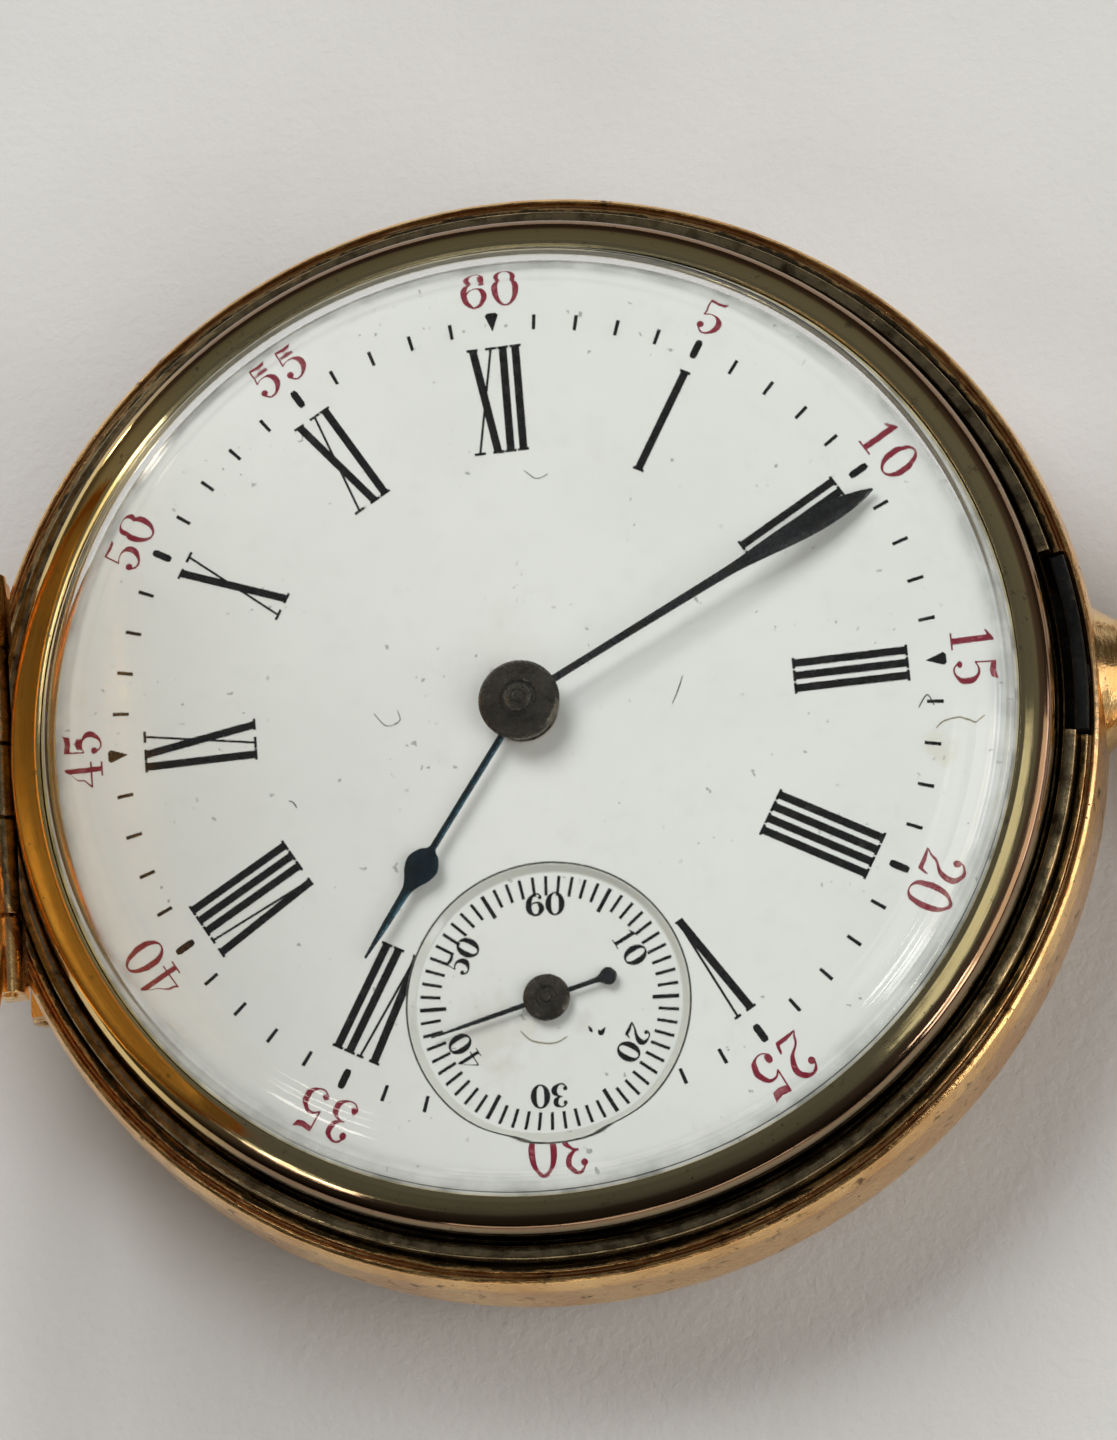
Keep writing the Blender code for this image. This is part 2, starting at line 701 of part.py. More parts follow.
def hands():
    minute = ((0, 0.3), (1.3, 0.13), (7.6, 0.17), (8.6, 0.3), (10.3, 0.4), (11.3, 0.26), (12.0, 0.03))
    hand("minute_hand", minute, MINUTE_HAND, MINUTE_HEADING, 1.2, (8.55, 8.85), 0.43)
    hour = ((0, 0.3), (1.3, 0.12), (4.7, 0.12), (5.0, 0.4), (5.5, 0.55), (6.0, 0.4), (6.5, 0.1), (8.7, 0.05))
    hand("hour_hand", hour, HOUR_HAND, HOUR_HEADING, 1.1, (7.95, 8.25), 0.78)
    seconds = ((0, 0.2), (0.6, 0.08), (3.5, 0.03))
    tail = ((0.6, 0.08), (1.65, 0.08), (1.75, 0.25), (2.0, 0.27), (2.15, 0.1))
    hand("seconds_hand", seconds, SECONDS_HAND, SECONDS_HEADING, 0.65, (7.6, 7.85), 0.16, FOURTH, tail)


# ---- plates and bridges ----
def arbor_hole(name, axis, radius, low=1.0, high=7.0):
    return rod(name, radius, low, high, "nickel", (*axis, 0), steps=THIN_ROUND)


def screw_holes(bridge=""):
    """A clearance hole at each screw whose name starts with the bridge's."""
    return [
        arbor_hole(name + "_hole", from_point(CENTER, distance, angle), SCREW_SHANK + 0.04, high=5.5)
        for name, distance, angle, low in PLATE_SCREWS
        if name.startswith(bridge)
    ]


def mainplate():
    floor = flat("mainplate", [circle(PLATE_RADIUS, 48)], "nickel", PLATE)
    ring = [circle(PLATE_RADIUS, 48), circle(PLATE_RADIUS - 0.9, 48)]
    rim = flat("plate_rim", ring, "nickel", (5.5, DIAL_LOW - 0.02))
    plate = joined(floor, [rim])
    cuts = [
        rod("barrel_recess", 6.15, 4, 5.42, "nickel", (*BARREL, 0), steps=32),
        block("pinion_recess", (WINDING_X - 0.5, -2.3, 4), (WINDING_X + 0.5, 2.3, 5.86), "nickel"),
        arbor_hole("center_hole", CENTER, 0.34),
        arbor_hole("fourth_hole", FOURTH, 0.18),
        arbor_hole("third_hole", THIRD, 0.15),
        arbor_hole("escape_hole", ESCAPE, 0.12),
        arbor_hole("pallet_hole", PALLET, 0.12),
        arbor_hole("balance_hole", BALANCE_AXIS, 0.12),
        arbor_hole("barrel_hole", BARREL, 0.5),
    ]
    combine(plate, cuts + screw_holes(), "DIFFERENCE")


def barrel_bridge():
    """The upper bridge: barrel, ratchet and crown wheel, with its foot along the rim."""
    edge = arc(14.15, -15, 158, 20) + [(-8.0, 2.6), (-2.2, 1.2), (3.0, -1.9), (8.6, -3.3)]
    top = flat("barrel_bridge", [edge], "nickel", BRIDGES)
    foot = flat("barrel_foot", [sector(12.75, 14.1, 20, 150, 12)], "nickel", (BRIDGES[0] + 0.2, FOOT_LOW))
    block_low, block_high = (WINDING_X + 0.55, -1.5, BRIDGES[0] + 0.3), (13.95, 1.5, FOOT_LOW)
    bearing = block("stem_bearing", block_low, block_high, "nickel")
    bridge = joined(top, [foot, bearing])
    cuts = [
        block("pinion_slot", (WINDING_X - 0.45, -2.25, 1), (WINDING_X + 0.45, 2.25, 4), "nickel"),
        rod("stem_bore", 0.42, 9, 15, "nickel", (0, 0, STEM_Z), ALONG_X, steps=12),
        arbor_hole("barrel_top_hole", BARREL, 0.62),
        arbor_hole("center_top_hole", CENTER, 0.24),
        arbor_hole("crown_post_hole", CROWN_WHEEL, 0.55),
    ]
    combine(bridge, cuts + screw_holes("barrel_bridge"), "DIFFERENCE")


def train_bridge():
    """The lower bridge, over the third, fourth and escape wheels."""
    edge = [
        (2.9, -2.3),
        (8.4, -4.0),
        *arc(14.15, -30, -112, 11),
        (-4.6, -9.2),
        (-4.6, -6.9),
        (-1.2, -6.2),
        (0.6, -3.4),
    ]
    top = flat("train_bridge", [edge], "nickel", BRIDGES)
    foot = flat("train_foot", [sector(12.75, 14.1, -105, -34, 9)], "nickel", (BRIDGES[0] + 0.2, FOOT_LOW))
    bridge = joined(top, [foot])
    cuts = [
        arbor_hole("third_top_hole", THIRD, 0.15),
        arbor_hole("fourth_top_hole", FOURTH, 0.15),
        arbor_hole("escape_top_hole", ESCAPE, 0.12),
    ]
    combine(bridge, cuts + screw_holes("train_bridge"), "DIFFERENCE")


def balance_cock():
    edge = arc(14.1, COCK_HEADING - 13, COCK_HEADING + 13, 5)
    edge += arc(1.7, COCK_HEADING + 75, COCK_HEADING + 285, 9, BALANCE_AXIS)
    top = flat("balance_cock", [edge], "nickel", COCK)
    foot_ring = sector(13.35, 14.05, COCK_HEADING - 12, COCK_HEADING + 12, 5)
    foot = flat("cock_foot", [foot_ring], "nickel", (COCK[0] + 0.1, FOOT_LOW))
    cock = joined(top, [foot])
    combine(cock, [arbor_hole("cock_hole", BALANCE_AXIS, 0.14), *screw_holes("balance_cock")], "DIFFERENCE")


def pallet_bridge():
    """The narrow bridge across the pallet fork, standing on a foot each side."""
    across = ESCAPE_TO_BALANCE * 180 / pi + 90
    ends = [from_point(PALLET, 2.1, across), from_point(PALLET, -2.1, across)]
    corners = arc(0.5, across - 90, across + 90, 5, ends[0])
    corners += arc(0.5, across + 90, across + 270, 5, ends[1])
    top = flat("pallet_bridge", [corners], "nickel", PALLET_BRIDGE)
    feet = [
        flat(f"pallet_foot_{i}", [circle(0.42, centre=end)], "nickel", (PALLET_BRIDGE[0] + 0.05, FOOT_LOW))
        for i, end in enumerate(ends)
    ]
    bridge = joined(top, feet)
    combine(bridge, [arbor_hole("pallet_top_hole", PALLET, 0.12)], "DIFFERENCE")


# ---- wheels ----
def wheel(name, axis, outline, levels, slot, bore, arms=None):
    holes = [circle(bore, THIN_ROUND)] + (windows(*arms) if arms else [])
    return flat(name, [outline, *holes], slot, levels, axis)


def pinion(name, axis, outline, levels, shaft):
    """Leaves on an arbor, whose profile runs down its outer side."""
    body = flat(name, [outline], "bright_steel", levels, axis)
    rod_through = turned(name + "_arbor", shaft, "bright_steel", (*axis, 0), steps=THIN_ROUND)
    return joined(body, [rod_through])


def arbor(low, high, radius, pivot=0.08, body=(2.88, 4.67)):
    """An arbor's profile: a thick middle between its bridge and the plate, and a thin pivot each end."""
    return [
        (0, high),
        (pivot, high),
        (pivot, body[1]),
        (radius, body[1]),
        (radius, body[0]),
        (pivot, body[0]),
        (pivot, low),
        (0, low),
    ]


def going_train():
    center_phase = direction(CENTER, THIRD)
    third_leaf = in_mesh(CENTER_COUNT, center_phase, THIRD_LEAVES, center_phase)
    barrel_phase = direction(BARREL, CENTER)
    center_leaf = in_mesh(BARREL_COUNT, barrel_phase, CENTER_LEAVES, barrel_phase)
    third_phase = direction(THIRD, FOURTH)
    fourth_leaf = in_mesh(THIRD_COUNT, third_phase, FOURTH_LEAVES, third_phase)
    fourth_phase = direction(FOURTH, ESCAPE)
    escape_leaf = in_mesh(FOURTH_COUNT, fourth_phase, ESCAPE_LEAVES, fourth_phase)

    outline = teeth(CENTER_COUNT, CENTER_MODULE, center_phase)
    wheel("center_wheel", CENTER, outline, CENTER_WHEEL, "brass", 0.3, (4, 1.0, 4.2, 0.5))
    outline = leaves(CENTER_LEAVES, BARREL_MODULE, center_leaf)
    center_arbor = [
        (0, 8.8),
        (0.2, 8.8),
        (0.2, 5.95),
        (0.27, 5.85),
        (0.27, 2.9),
        (0.2, 2.88),
        (0.2, 1.95),
        (0, 1.95),
    ]
    pinion("center_pinion", CENTER, outline, (3.14, 4.55), center_arbor)

    outline = teeth(THIRD_COUNT, THIRD_MODULE, third_phase)
    wheel("third_wheel", THIRD, outline, THIRD_WHEEL, "brass", 0.25, (4, 0.9, 3.35, 0.4))
    outline = leaves(THIRD_LEAVES, CENTER_MODULE, third_leaf)
    pinion("third_pinion", THIRD, outline, (2.9, 4.2), arbor(2.2, 5.4, 0.22))

    outline = teeth(FOURTH_COUNT, FOURTH_MODULE, fourth_phase)
    wheel("fourth_wheel", FOURTH, outline, FOURTH_WHEEL, "brass", 0.25, (4, 0.8, 2.8, 0.35))
    outline = leaves(FOURTH_LEAVES, THIRD_MODULE, fourth_leaf)
    pinion("fourth_pinion", FOURTH, outline, (3.9, 4.62), arbor(2.2, 7.8, 0.14, 0.1))

    pinion_outline = leaves(ESCAPE_LEAVES, FOURTH_MODULE, escape_leaf)
    pinion("escape_pinion", ESCAPE, pinion_outline, (3.35, 3.8), arbor(2.2, 5.3, 0.13, 0.07))
    wheel("escape_wheel", ESCAPE, club_teeth(), ESCAPE_WHEEL, "bright_steel", 0.16, (4, 0.45, 1.2, 0.22))


def club_teeth():
    """The escape wheel's raked teeth."""
    points = []
    for i in range(ESCAPE_COUNT):
        start = 360 * i / ESCAPE_COUNT + 6
        for turn, radius in ((0, ESCAPE_RADIUS), (3.5, ESCAPE_RADIUS - 0.06), (7, 1.42), (17, 1.4)):
            points.append(from_point((0, 0), radius, start + turn))
    return points


def barrel():
    """The drum with its teeth, the wound spring inside it and the lid."""
    phase = direction(BARREL, CENTER)
    low, high = BARREL_TEETH[0], BARREL_DRUM[1]
    toothed = [teeth(BARREL_COUNT, BARREL_MODULE, phase), circle(0.72)]
    base = flat("mainspring_barrel", toothed, "brass", BARREL_TEETH, BARREL)
    wall = tube("barrel_wall", 5.45, 5.15, low + 0.1, high, "brass", (*BARREL, 0), steps=20)
    joined(base, [wall])
    lid = [(5.1, high - 0.02), (5.1, high - 0.22), (0.72, high - 0.22), (0.72, high - 0.02)]
    turned("barrel_cover", lid, "brass", (*BARREL, 0), steps=20)
    flat("mainspring", [spiral(1.05, 4.85, 4, 0.16, 12)], "bright_steel", (3.75, 5.0), BARREL)


def barrel_arbor():
    profile = [
        (0, 5.9),
        (0.4, 5.9),
        (0.4, 5.35),
        (0.66, 5.3),
        (0.66, 3.7),
        (0.56, 3.2),
        (0.56, 1.83),
        (0.4, 1.8),
        (0.4, 1.45),
        (0.2, 1.45),
        (0.2, 2.5),
        (0, 2.5),
    ]
    turned("barrel_arbor", profile, "bright_steel", (*BARREL, 0), steps=12)


def winding_work():
    """The crown wheel and ratchet on the bridge, the pinion on the stem, the click and its spring."""
    crown_phase = 0.0
    ratchet_phase = in_mesh(CROWN_WHEEL_COUNT, crown_phase, RATCHET_COUNT, direction(CROWN_WHEEL, BARREL))
    outline = teeth(RATCHET_COUNT, WINDING_MODULE, ratchet_phase)
    wheel("ratchet_wheel", BARREL, outline, WINDING_WHEELS, "bright_steel", 0.43)
    outline = teeth(CROWN_WHEEL_COUNT, WINDING_MODULE, crown_phase)
    wheel("crown_wheel", CROWN_WHEEL, outline, WINDING_WHEELS, "bright_steel", 0.6)
    barrel_arbor()
    screw("ratchet_screw", (*BARREL, WINDING_WHEELS[0] - 0.07), 1.1, 0.17, 0.9)
    screw("crown_wheel_screw", (*CROWN_WHEEL, WINDING_WHEELS[0] - 0.05), 1.15, 0.48, 1.2)
    rim = leaves(WINDING_LEAVES, WINDING_MODULE, pi / WINDING_LEAVES, 0.5, 0.95)
    toothed = as_mesh(flat("winding_pinion", [rim, circle(0.42)], "bright_steel", (-0.03, 0.57)))
    toothed.rotation_euler = ALONG_X
    toothed.location = ((WINDING_X + 0.12) * MM, 0, STEM_Z * MM)
    click()


def strip(route, width):
    """The outline of a thin strip along a route."""
    left, right = [], []
    for i, here in enumerate(route):
        before, after = route[max(i - 1, 0)], route[min(i + 1, len(route) - 1)]
        side = direction(before, after) + pi / 2
        dx, dy = width / 2 * cos(side), width / 2 * sin(side)
        left.append((here[0] + dx, here[1] + dy))
        right.append((here[0] - dx, here[1] - dy))
    return left + right[::-1]


def click():
    pivot = from_point(BARREL, 6.3, 18)
    beak = from_point(BARREL, 4.62, 36)
    heading = direction(pivot, beak) * 180 / pi
    edge = arc(0.62, heading + 60, heading + 300, 9, pivot) + [beak]
    plate = as_mesh(flat("click", [edge], "bright_steel", WINDING_WHEELS))
    hang([plate], "click_line", (*pivot, 0), (0, 0, 0))
    start = from_point(pivot, 0.75, heading - 120)
    route = [start, from_point(start, 1.3, heading - 80), from_point(start, 2.8, heading - 60)]
    flat("click_spring", [strip(route, 0.14)], "bright_steel", (1.55, 1.8))


def motion_work():
    """Cannon pinion, minute wheel, hour wheel and the setting wheel under the dial."""
    heading = direction(CENTER, MINUTE_AXIS)
    minute_phase = in_mesh(CANNON_LEAVES, heading, MINUTE_COUNT, heading)
    leaf_phase = heading + pi
    hour_phase = in_mesh(MINUTE_LEAVES, leaf_phase, HOUR_COUNT, heading + pi)
    setting_phase = in_mesh(MINUTE_COUNT, minute_phase, SETTING_COUNT, heading)

    outline = leaves(CANNON_LEAVES, MOTION_MODULE, heading)
    cannon = flat("cannon_pinion", [outline], "bright_steel", (6.05, 6.33))
    pipe = rod("cannon_pipe", 0.4, 6.1, 8.78, "bright_steel", steps=12)
    cannon = joined(cannon, [pipe])
    combine(cannon, [rod("cannon_bore", 0.22, 5, 9, "bright_steel", steps=10)], "DIFFERENCE")

    outline = teeth(MINUTE_COUNT, MOTION_MODULE, minute_phase)
    disc = flat("minute_wheel", [outline], "brass", MINUTE_WHEEL, MINUTE_AXIS)
    outline = leaves(MINUTE_LEAVES, MOTION_MODULE, leaf_phase)
    joined(disc, [flat("minute_leaves", [outline], "brass", (6.2, 6.6), MINUTE_AXIS)])

    outline = teeth(HOUR_COUNT, MOTION_MODULE, hour_phase)
    disc = flat("hour_wheel", [outline], "brass", HOUR_WHEEL)
    sleeve = rod("hour_pipe", 0.75, HOUR_WHEEL[0] + 0.03, 8.2, "brass", steps=12)
    hour = joined(disc, [sleeve])
    combine(hour, [rod("hour_bore", 0.45, 6, 9, "brass", steps=12)], "DIFFERENCE")

    outline = teeth(SETTING_COUNT, MOTION_MODULE, setting_phase)
    wheel("setting_wheel", SETTING_AXIS, outline, MINUTE_WHEEL, "bright_steel", 0.3)


def pallet_fork():
    """The fork, from its notch by the balance back to the arms that reach round the escape wheel."""
    side = [
        (2.35, 0.12),
        (2.95, 0.38),
        (2.75, 0.42),
        (2.15, 0.2),
        (0.6, 0.12),
        (0.25, 0.4),
        (0.05, 1.15),
        (-0.62, 1.2),
        (-0.62, 1.02),
        (-0.2, 0.75),
        (-0.25, 0.3),
    ]
    outline = side + [(x, -y) for x, y in side[::-1]]
    plate = as_mesh(flat("pallet_fork", [outline], "bright_steel", ESCAPE_WHEEL, PALLET))
    plate.rotation_euler = (0, 0, ESCAPE_TO_BALANCE)
    profile = arbor(3.8, 5.2, 0.15, 0.07, (4.0, 4.67))
    staff = turned("pallet_arbor", profile, "bright_steel", (*PALLET, 0), steps=THIN_ROUND)
    joined(plate, [staff])


def balance():
    """The balance with its two arms, its staff with the roller, and the flat spring under the cock."""
    arms = windows(2, 0.7, 4.3, 0.5, ESCAPE_TO_BALANCE * 180 / pi, 16)
    outlines = [circle(4.9, 40), circle(0.3, THIN_ROUND), *arms]
    flat("balance_wheel", outlines, "brass", BALANCE, BALANCE_AXIS)
    profile = [
        (0, 5.0),
        (0.08, 5.0),
        (0.08, 4.72),
        (0.16, 4.6),
        (0.16, 3.95),
        (0.85, 3.95),
        (0.85, 3.72),
        (0.27, 3.7),
        (0.27, 2.9),
        (0.16, 2.85),
        (0.16, 2.5),
        (0.09, 2.45),
        (0.09, 1.95),
        (0, 1.95),
    ]
    turned("balance_staff", profile, "bright_steel", (*BALANCE_AXIS, 0), steps=SMALL_ROUND)
    coil = spiral(0.42, 2.3, 4, 0.05, 12)
    flat("hairspring", [coil], "blued_steel", (2.55, 2.75), BALANCE_AXIS)


def regulator():
    """The lever on the cock that shortens or frees the hairspring."""
    heading = direction(BALANCE_AXIS, CENTER) * 180 / pi
    tip, half = from_point((0, 0), 4.2, heading), 0.07
    edge = arc(0.95, heading + 14, heading + 346, 16)
    edge += [from_point(tip, half, heading - 90), from_point(tip, half, heading + 90)]
    flat("regulator", [edge, circle(0.6)], "bright_steel", (1.62, 1.8), BALANCE_AXIS)


def movement_screws():
    """The screws through the bridges' feet into the plate, and the two that hold the movement in."""
    for name, distance, angle, low in PLATE_SCREWS:
        place = (*from_point(CENTER, distance, angle), low - 0.02)
        screw(name, place, SCREW_HEAD, SCREW_SHANK, 5.3 - low)


def build():
    case_middle()
    pendant()
    bezel()
    crystal()
    hinge_pins()
    front_cover()
    back_cover()
    dust_cover()
    bow()
    crown_and_stem()
    case_springs()
    dial()
    hands()
    mainplate()
    barrel_bridge()
    train_bridge()
    balance_cock()
    pallet_bridge()
    going_train()
    barrel()
    winding_work()
    motion_work()
    pallet_fork()
    balance()
    regulator()
    movement_screws()


clear_scene()
WATCH = new_collection("hunter_pocket_watch")
CUTTERS = new_collection("cutters")
build()
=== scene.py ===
"""The looks of a hunter pocket watch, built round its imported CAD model."""

import json
from math import atan2, cos, degrees, hypot, pi, radians, sin, sqrt, tan

import bmesh
import bpy
import numpy as np
from mathutils import Matrix, Vector


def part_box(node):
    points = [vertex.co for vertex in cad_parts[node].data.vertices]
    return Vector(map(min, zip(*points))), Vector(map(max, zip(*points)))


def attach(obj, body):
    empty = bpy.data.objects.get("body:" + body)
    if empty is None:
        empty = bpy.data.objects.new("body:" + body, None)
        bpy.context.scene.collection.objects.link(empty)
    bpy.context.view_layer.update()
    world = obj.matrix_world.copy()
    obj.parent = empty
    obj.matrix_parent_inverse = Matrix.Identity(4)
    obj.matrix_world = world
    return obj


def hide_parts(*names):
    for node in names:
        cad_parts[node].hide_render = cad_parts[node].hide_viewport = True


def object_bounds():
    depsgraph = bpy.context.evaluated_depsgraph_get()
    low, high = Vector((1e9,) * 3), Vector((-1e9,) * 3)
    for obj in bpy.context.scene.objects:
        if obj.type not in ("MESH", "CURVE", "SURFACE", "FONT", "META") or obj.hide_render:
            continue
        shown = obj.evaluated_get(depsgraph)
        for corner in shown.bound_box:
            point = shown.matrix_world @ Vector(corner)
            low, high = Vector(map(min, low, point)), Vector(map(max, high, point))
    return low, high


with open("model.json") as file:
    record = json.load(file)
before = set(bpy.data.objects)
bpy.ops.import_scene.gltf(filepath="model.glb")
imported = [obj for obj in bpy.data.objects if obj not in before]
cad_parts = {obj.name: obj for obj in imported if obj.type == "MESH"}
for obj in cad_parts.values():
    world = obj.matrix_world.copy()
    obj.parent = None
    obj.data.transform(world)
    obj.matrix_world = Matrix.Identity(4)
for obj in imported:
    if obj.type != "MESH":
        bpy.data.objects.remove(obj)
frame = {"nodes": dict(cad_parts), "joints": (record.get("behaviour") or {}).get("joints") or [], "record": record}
CAD_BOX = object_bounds()
NODES = frame["nodes"]
JOINTS = {joint["name"]: joint for joint in frame["joints"]}
MM = 0.001
TAU = 2 * pi
ROUND = 288  # steps round the case
SHARP = 32  # degrees at which an edge stays sharp
UPRIGHT = (0, 0, 0)
ALONG_X = (0, pi / 2, 0)
ALONG_Y = (-pi / 2, 0, 0)


def level(node, top=True):
    """The highest or lowest height of a CAD node, in mm."""
    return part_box(node)[1 if top else 0].z / MM


def pivot(joint):
    return Vector(JOINTS[joint]["pos_m"]) / MM


DIAL_TOP = level("dial")
DIAL_RADIUS = 14.815
SECONDS_HOLE = 4.09
SECONDS_TOP = level("seconds_dial")
SECONDS_Y = pivot("fourth_turn").y
SECONDS_MIDDLE = (0.03, SECONDS_Y - 0.11)  # the sunk dial sits a little off its hand
FRONT_HINGE = pivot("front_lid_hinge")
BACK_HINGE = pivot("back_lid_hinge")
STEM_Z = pivot("winding_turn").z
BOW_X = pivot("bow_swing").x
LID_OPEN = 100.0
HOUR_HEADING, MINUTE_HEADING, SECONDS_HEADING = 215.9, 63.75, 256.8  # clockwise from twelve


# ---- shapes: lists of points in mm and faces ----
def lofted(rings, closed=False, capped=True):
    """Skin over rings of points. A ring of one point is a tip."""
    points, faces, starts = [], [], []
    for ring in rings:
        starts.append(len(points))
        points += [Vector(p) for p in ring]
    pairs = list(zip(range(len(rings)), range(1, len(rings))))
    if closed:
        pairs.append((len(rings) - 1, 0))
    for a, b in pairs:
        na, nb, sa, sb = len(rings[a]), len(rings[b]), starts[a], starts[b]
        for j in range(max(na, nb)):
            k = (j + 1) % max(na, nb)
            if na == 1 and nb > 1:
                faces.append((sa, sb + j, sb + k))
            elif nb == 1 and na > 1:
                faces.append((sa + j, sb, sa + k))
            elif na > 1:
                faces.append((sa + j, sb + j, sb + k, sa + k))
    if capped and not closed:
        for ring, start in ((rings[0], starts[0]), (rings[-1], starts[-1])):
            if len(ring) > 2:
                faces.append(tuple(range(start, start + len(ring))))
    return points, faces


def placed(shape, at=(0, 0, 0), turn=UPRIGHT):
    """A shape turned, then moved."""
    x, y, z = (Matrix.Rotation(angle, 3, axis) for angle, axis in zip(turn, "XYZ"))
    whole = z @ y @ x
    return [whole @ p + Vector(at) for p in shape[0]], shape[1]


def together(shapes):
    points, faces = [], []
    for some_points, some_faces in shapes:
        start = len(points)
        points += some_points
        faces += [tuple(start + i for i in face) for face in some_faces]
    return points, faces


def rounded(profile, closed, per=5):
    """A profile of (r, z, fillet) corners with each fillet drawn as a curve."""
    points, count = [], len(profile)
    for i, corner in enumerate(profile):
        here = Vector(corner[:2])
        size = corner[2] if len(corner) > 2 else 0
        if not size or (not closed and i in (0, count - 1)):
            points.append(tuple(here))
            continue
        before = Vector(profile[i - 1][:2]) - here
        after = Vector(profile[(i + 1) % count][:2]) - here
        half = before.angle(after) / 2
        reach = min(size / max(tan(half), 0.05), before.length * 0.48, after.length * 0.48)
        start, end = here + before.normalized() * reach, here + after.normalized() * reach
        for s in range(per + 1):
            t = s / per
            points.append(tuple(start * (1 - t) ** 2 + here * 2 * t * (1 - t) + end * t**2))
    return points


def turned(profile, steps=ROUND, at=(0, 0, 0), turn=UPRIGHT, flute=None):
    """A shape turned round Z. A profile that starts off the axis is closed on itself."""
    closed = profile[0][0] > 1e-6
    rings = []
    for r, z in rounded(profile, closed):
        if r < 1e-6:
            rings.append([(0, 0, z)])
            continue
        ring = []
        for j in range(steps):
            angle = TAU * j / steps
            radius = r * (1 + flute(angle, r, z)) if flute else r
            ring.append((radius * cos(angle), radius * sin(angle), z))
        rings.append(ring)
    return placed(lofted(rings, closed), at, turn)


def rod(radius, low, high, at=(0, 0, 0), turn=UPRIGHT, edge=0.04, steps=48):
    profile = [(0, high), (radius, high, edge), (radius, low, edge), (0, low)]
    return turned(profile, steps, at, turn)


def tube(radius, bore, low, high, at=(0, 0, 0), turn=UPRIGHT, edge=0.04, steps=64):
    profile = [(radius, high, edge), (radius, low, edge), (bore, low, edge / 2), (bore, high, edge / 2)]
    return turned(profile, steps, at, turn)


def box(low, high):
    (x0, y0, z0), (x1, y1, z1) = low, high
    rings = [[(x0, y0, z), (x1, y0, z), (x1, y1, z), (x0, y1, z)] for z in (z0, z1)]
    return lofted(rings)


def plate(outlines, low, high, bevel=0.03, at=(0, 0)):
    """A flat piece with bevelled edges. The first outline is its edge and the others are holes."""
    curve = bpy.data.curves.new("outline", "CURVE")
    curve.dimensions = "2D"
    curve.fill_mode = "BOTH"
    curve.extrude = (high - low) / 2 - bevel
    curve.bevel_depth = bevel
    curve.bevel_resolution = 1
    curve.offset = -bevel
    for outline in outlines:
        spline = curve.splines.new("POLY")
        spline.points.add(len(outline) - 1)
        for point, (x, y) in zip(spline.points, outline):
            point.co = (x, y, 0, 1)
        spline.use_cyclic_u = True
    obj = bpy.data.objects.new("outline", curve)
    bpy.context.scene.collection.objects.link(obj)
    bpy.context.view_layer.update()
    mesh = bpy.data.meshes.new_from_object(obj.evaluated_get(bpy.context.evaluated_depsgraph_get()))
    points = [v.co + Vector((at[0], at[1], (low + high) / 2)) for v in mesh.vertices]
    faces = [tuple(p.vertices) for p in mesh.polygons]
    bpy.data.objects.remove(obj)
    bpy.data.meshes.remove(mesh)
    return points, faces


def swept(route, radii, sides=24):
    """A round wire along a route of points."""
    rings = []
    side = Vector((0, 0, 1))
    for i, here in enumerate(route):
        ahead = Vector(route[min(i + 1, len(route) - 1)]) - Vector(route[max(i - 1, 0)])
        across = ahead.cross(side).normalized()
        up = across.cross(ahead).normalized()
        ring = []
        for j in range(sides):
            angle = TAU * j / sides
            ring.append(Vector(here) + (across * cos(angle) + up * sin(angle)) * radii[i])
        rings.append(ring)
    return lofted(rings)


def curve_through(points, per=8):
    """Points of a smooth curve through the given ones, of any dimension."""
    data = [np.array(p, float) for p in points]
    data = [2 * data[0] - data[1], *data, 2 * data[-1] - data[-2]]
    result = []
    for i in range(1, len(data) - 2):
        a, b, c, d = data[i - 1 : i + 3]
        for s in range(per):
            t = s / per
            square, cube = 2 * a - 5 * b + 4 * c - d, 3 * b - a - 3 * c + d
            result.append(0.5 * (2 * b + (c - a) * t + square * t**2 + cube * t**3))
    result.append(data[-2])
    return result


def smooth(points, per=6):
    """A profile's smooth stretch, whose first and last points stay exactly where they are."""
    return [points[0], *(tuple(p) for p in curve_through(points, per)[1:-1]), points[-1]]


def arc(radius, start, end, count, middle=(0, 0)):
    """Points on an arc, in degrees, both ends included."""
    angles = [radians(start + (end - start) * i / (count - 1)) for i in range(count)]
    return [(middle[0] + radius * cos(a), middle[1] + radius * sin(a)) for a in angles]


def circle(radius, count=64, middle=(0, 0)):
    return arc(radius, 0, 360 * (count - 1) / count, count, middle)


# ---- pieces: shapes as objects that ride on CAD bodies ----
def smoothed(mesh):
    """Smooth shading with its sharp edges kept."""
    mesh.polygons.foreach_set("use_smooth", [True] * len(mesh.polygons))
    mesh.set_sharp_from_angle(angle=radians(SHARP))


def as_object(name, shape, material):
    points, faces = shape
    mesh = bpy.data.meshes.new(name)
    mesh.from_pydata([p * MM for p in points], [], faces)
    form = bmesh.new()
    form.from_mesh(mesh)
    bmesh.ops.recalc_face_normals(form, faces=form.faces)
    form.to_mesh(mesh)
    form.free()
    smoothed(mesh)
    mesh.materials.append(material)
    obj = bpy.data.objects.new(name, mesh)
    bpy.context.scene.collection.objects.link(obj)
    return obj


def carved(obj, tools):
    """Cuts shapes from an object."""
    for shape in tools:
        tool = as_object("tool", shape, obj.data.materials[0])
        change = obj.modifiers.new("cut", "BOOLEAN")
        change.object = tool
        bpy.context.view_layer.update()
        mesh = bpy.data.meshes.new_from_object(obj.evaluated_get(bpy.context.evaluated_depsgraph_get()))
        obj.modifiers.clear()
        obj.data = mesh
        bpy.data.objects.remove(tool)
    smoothed(obj.data)


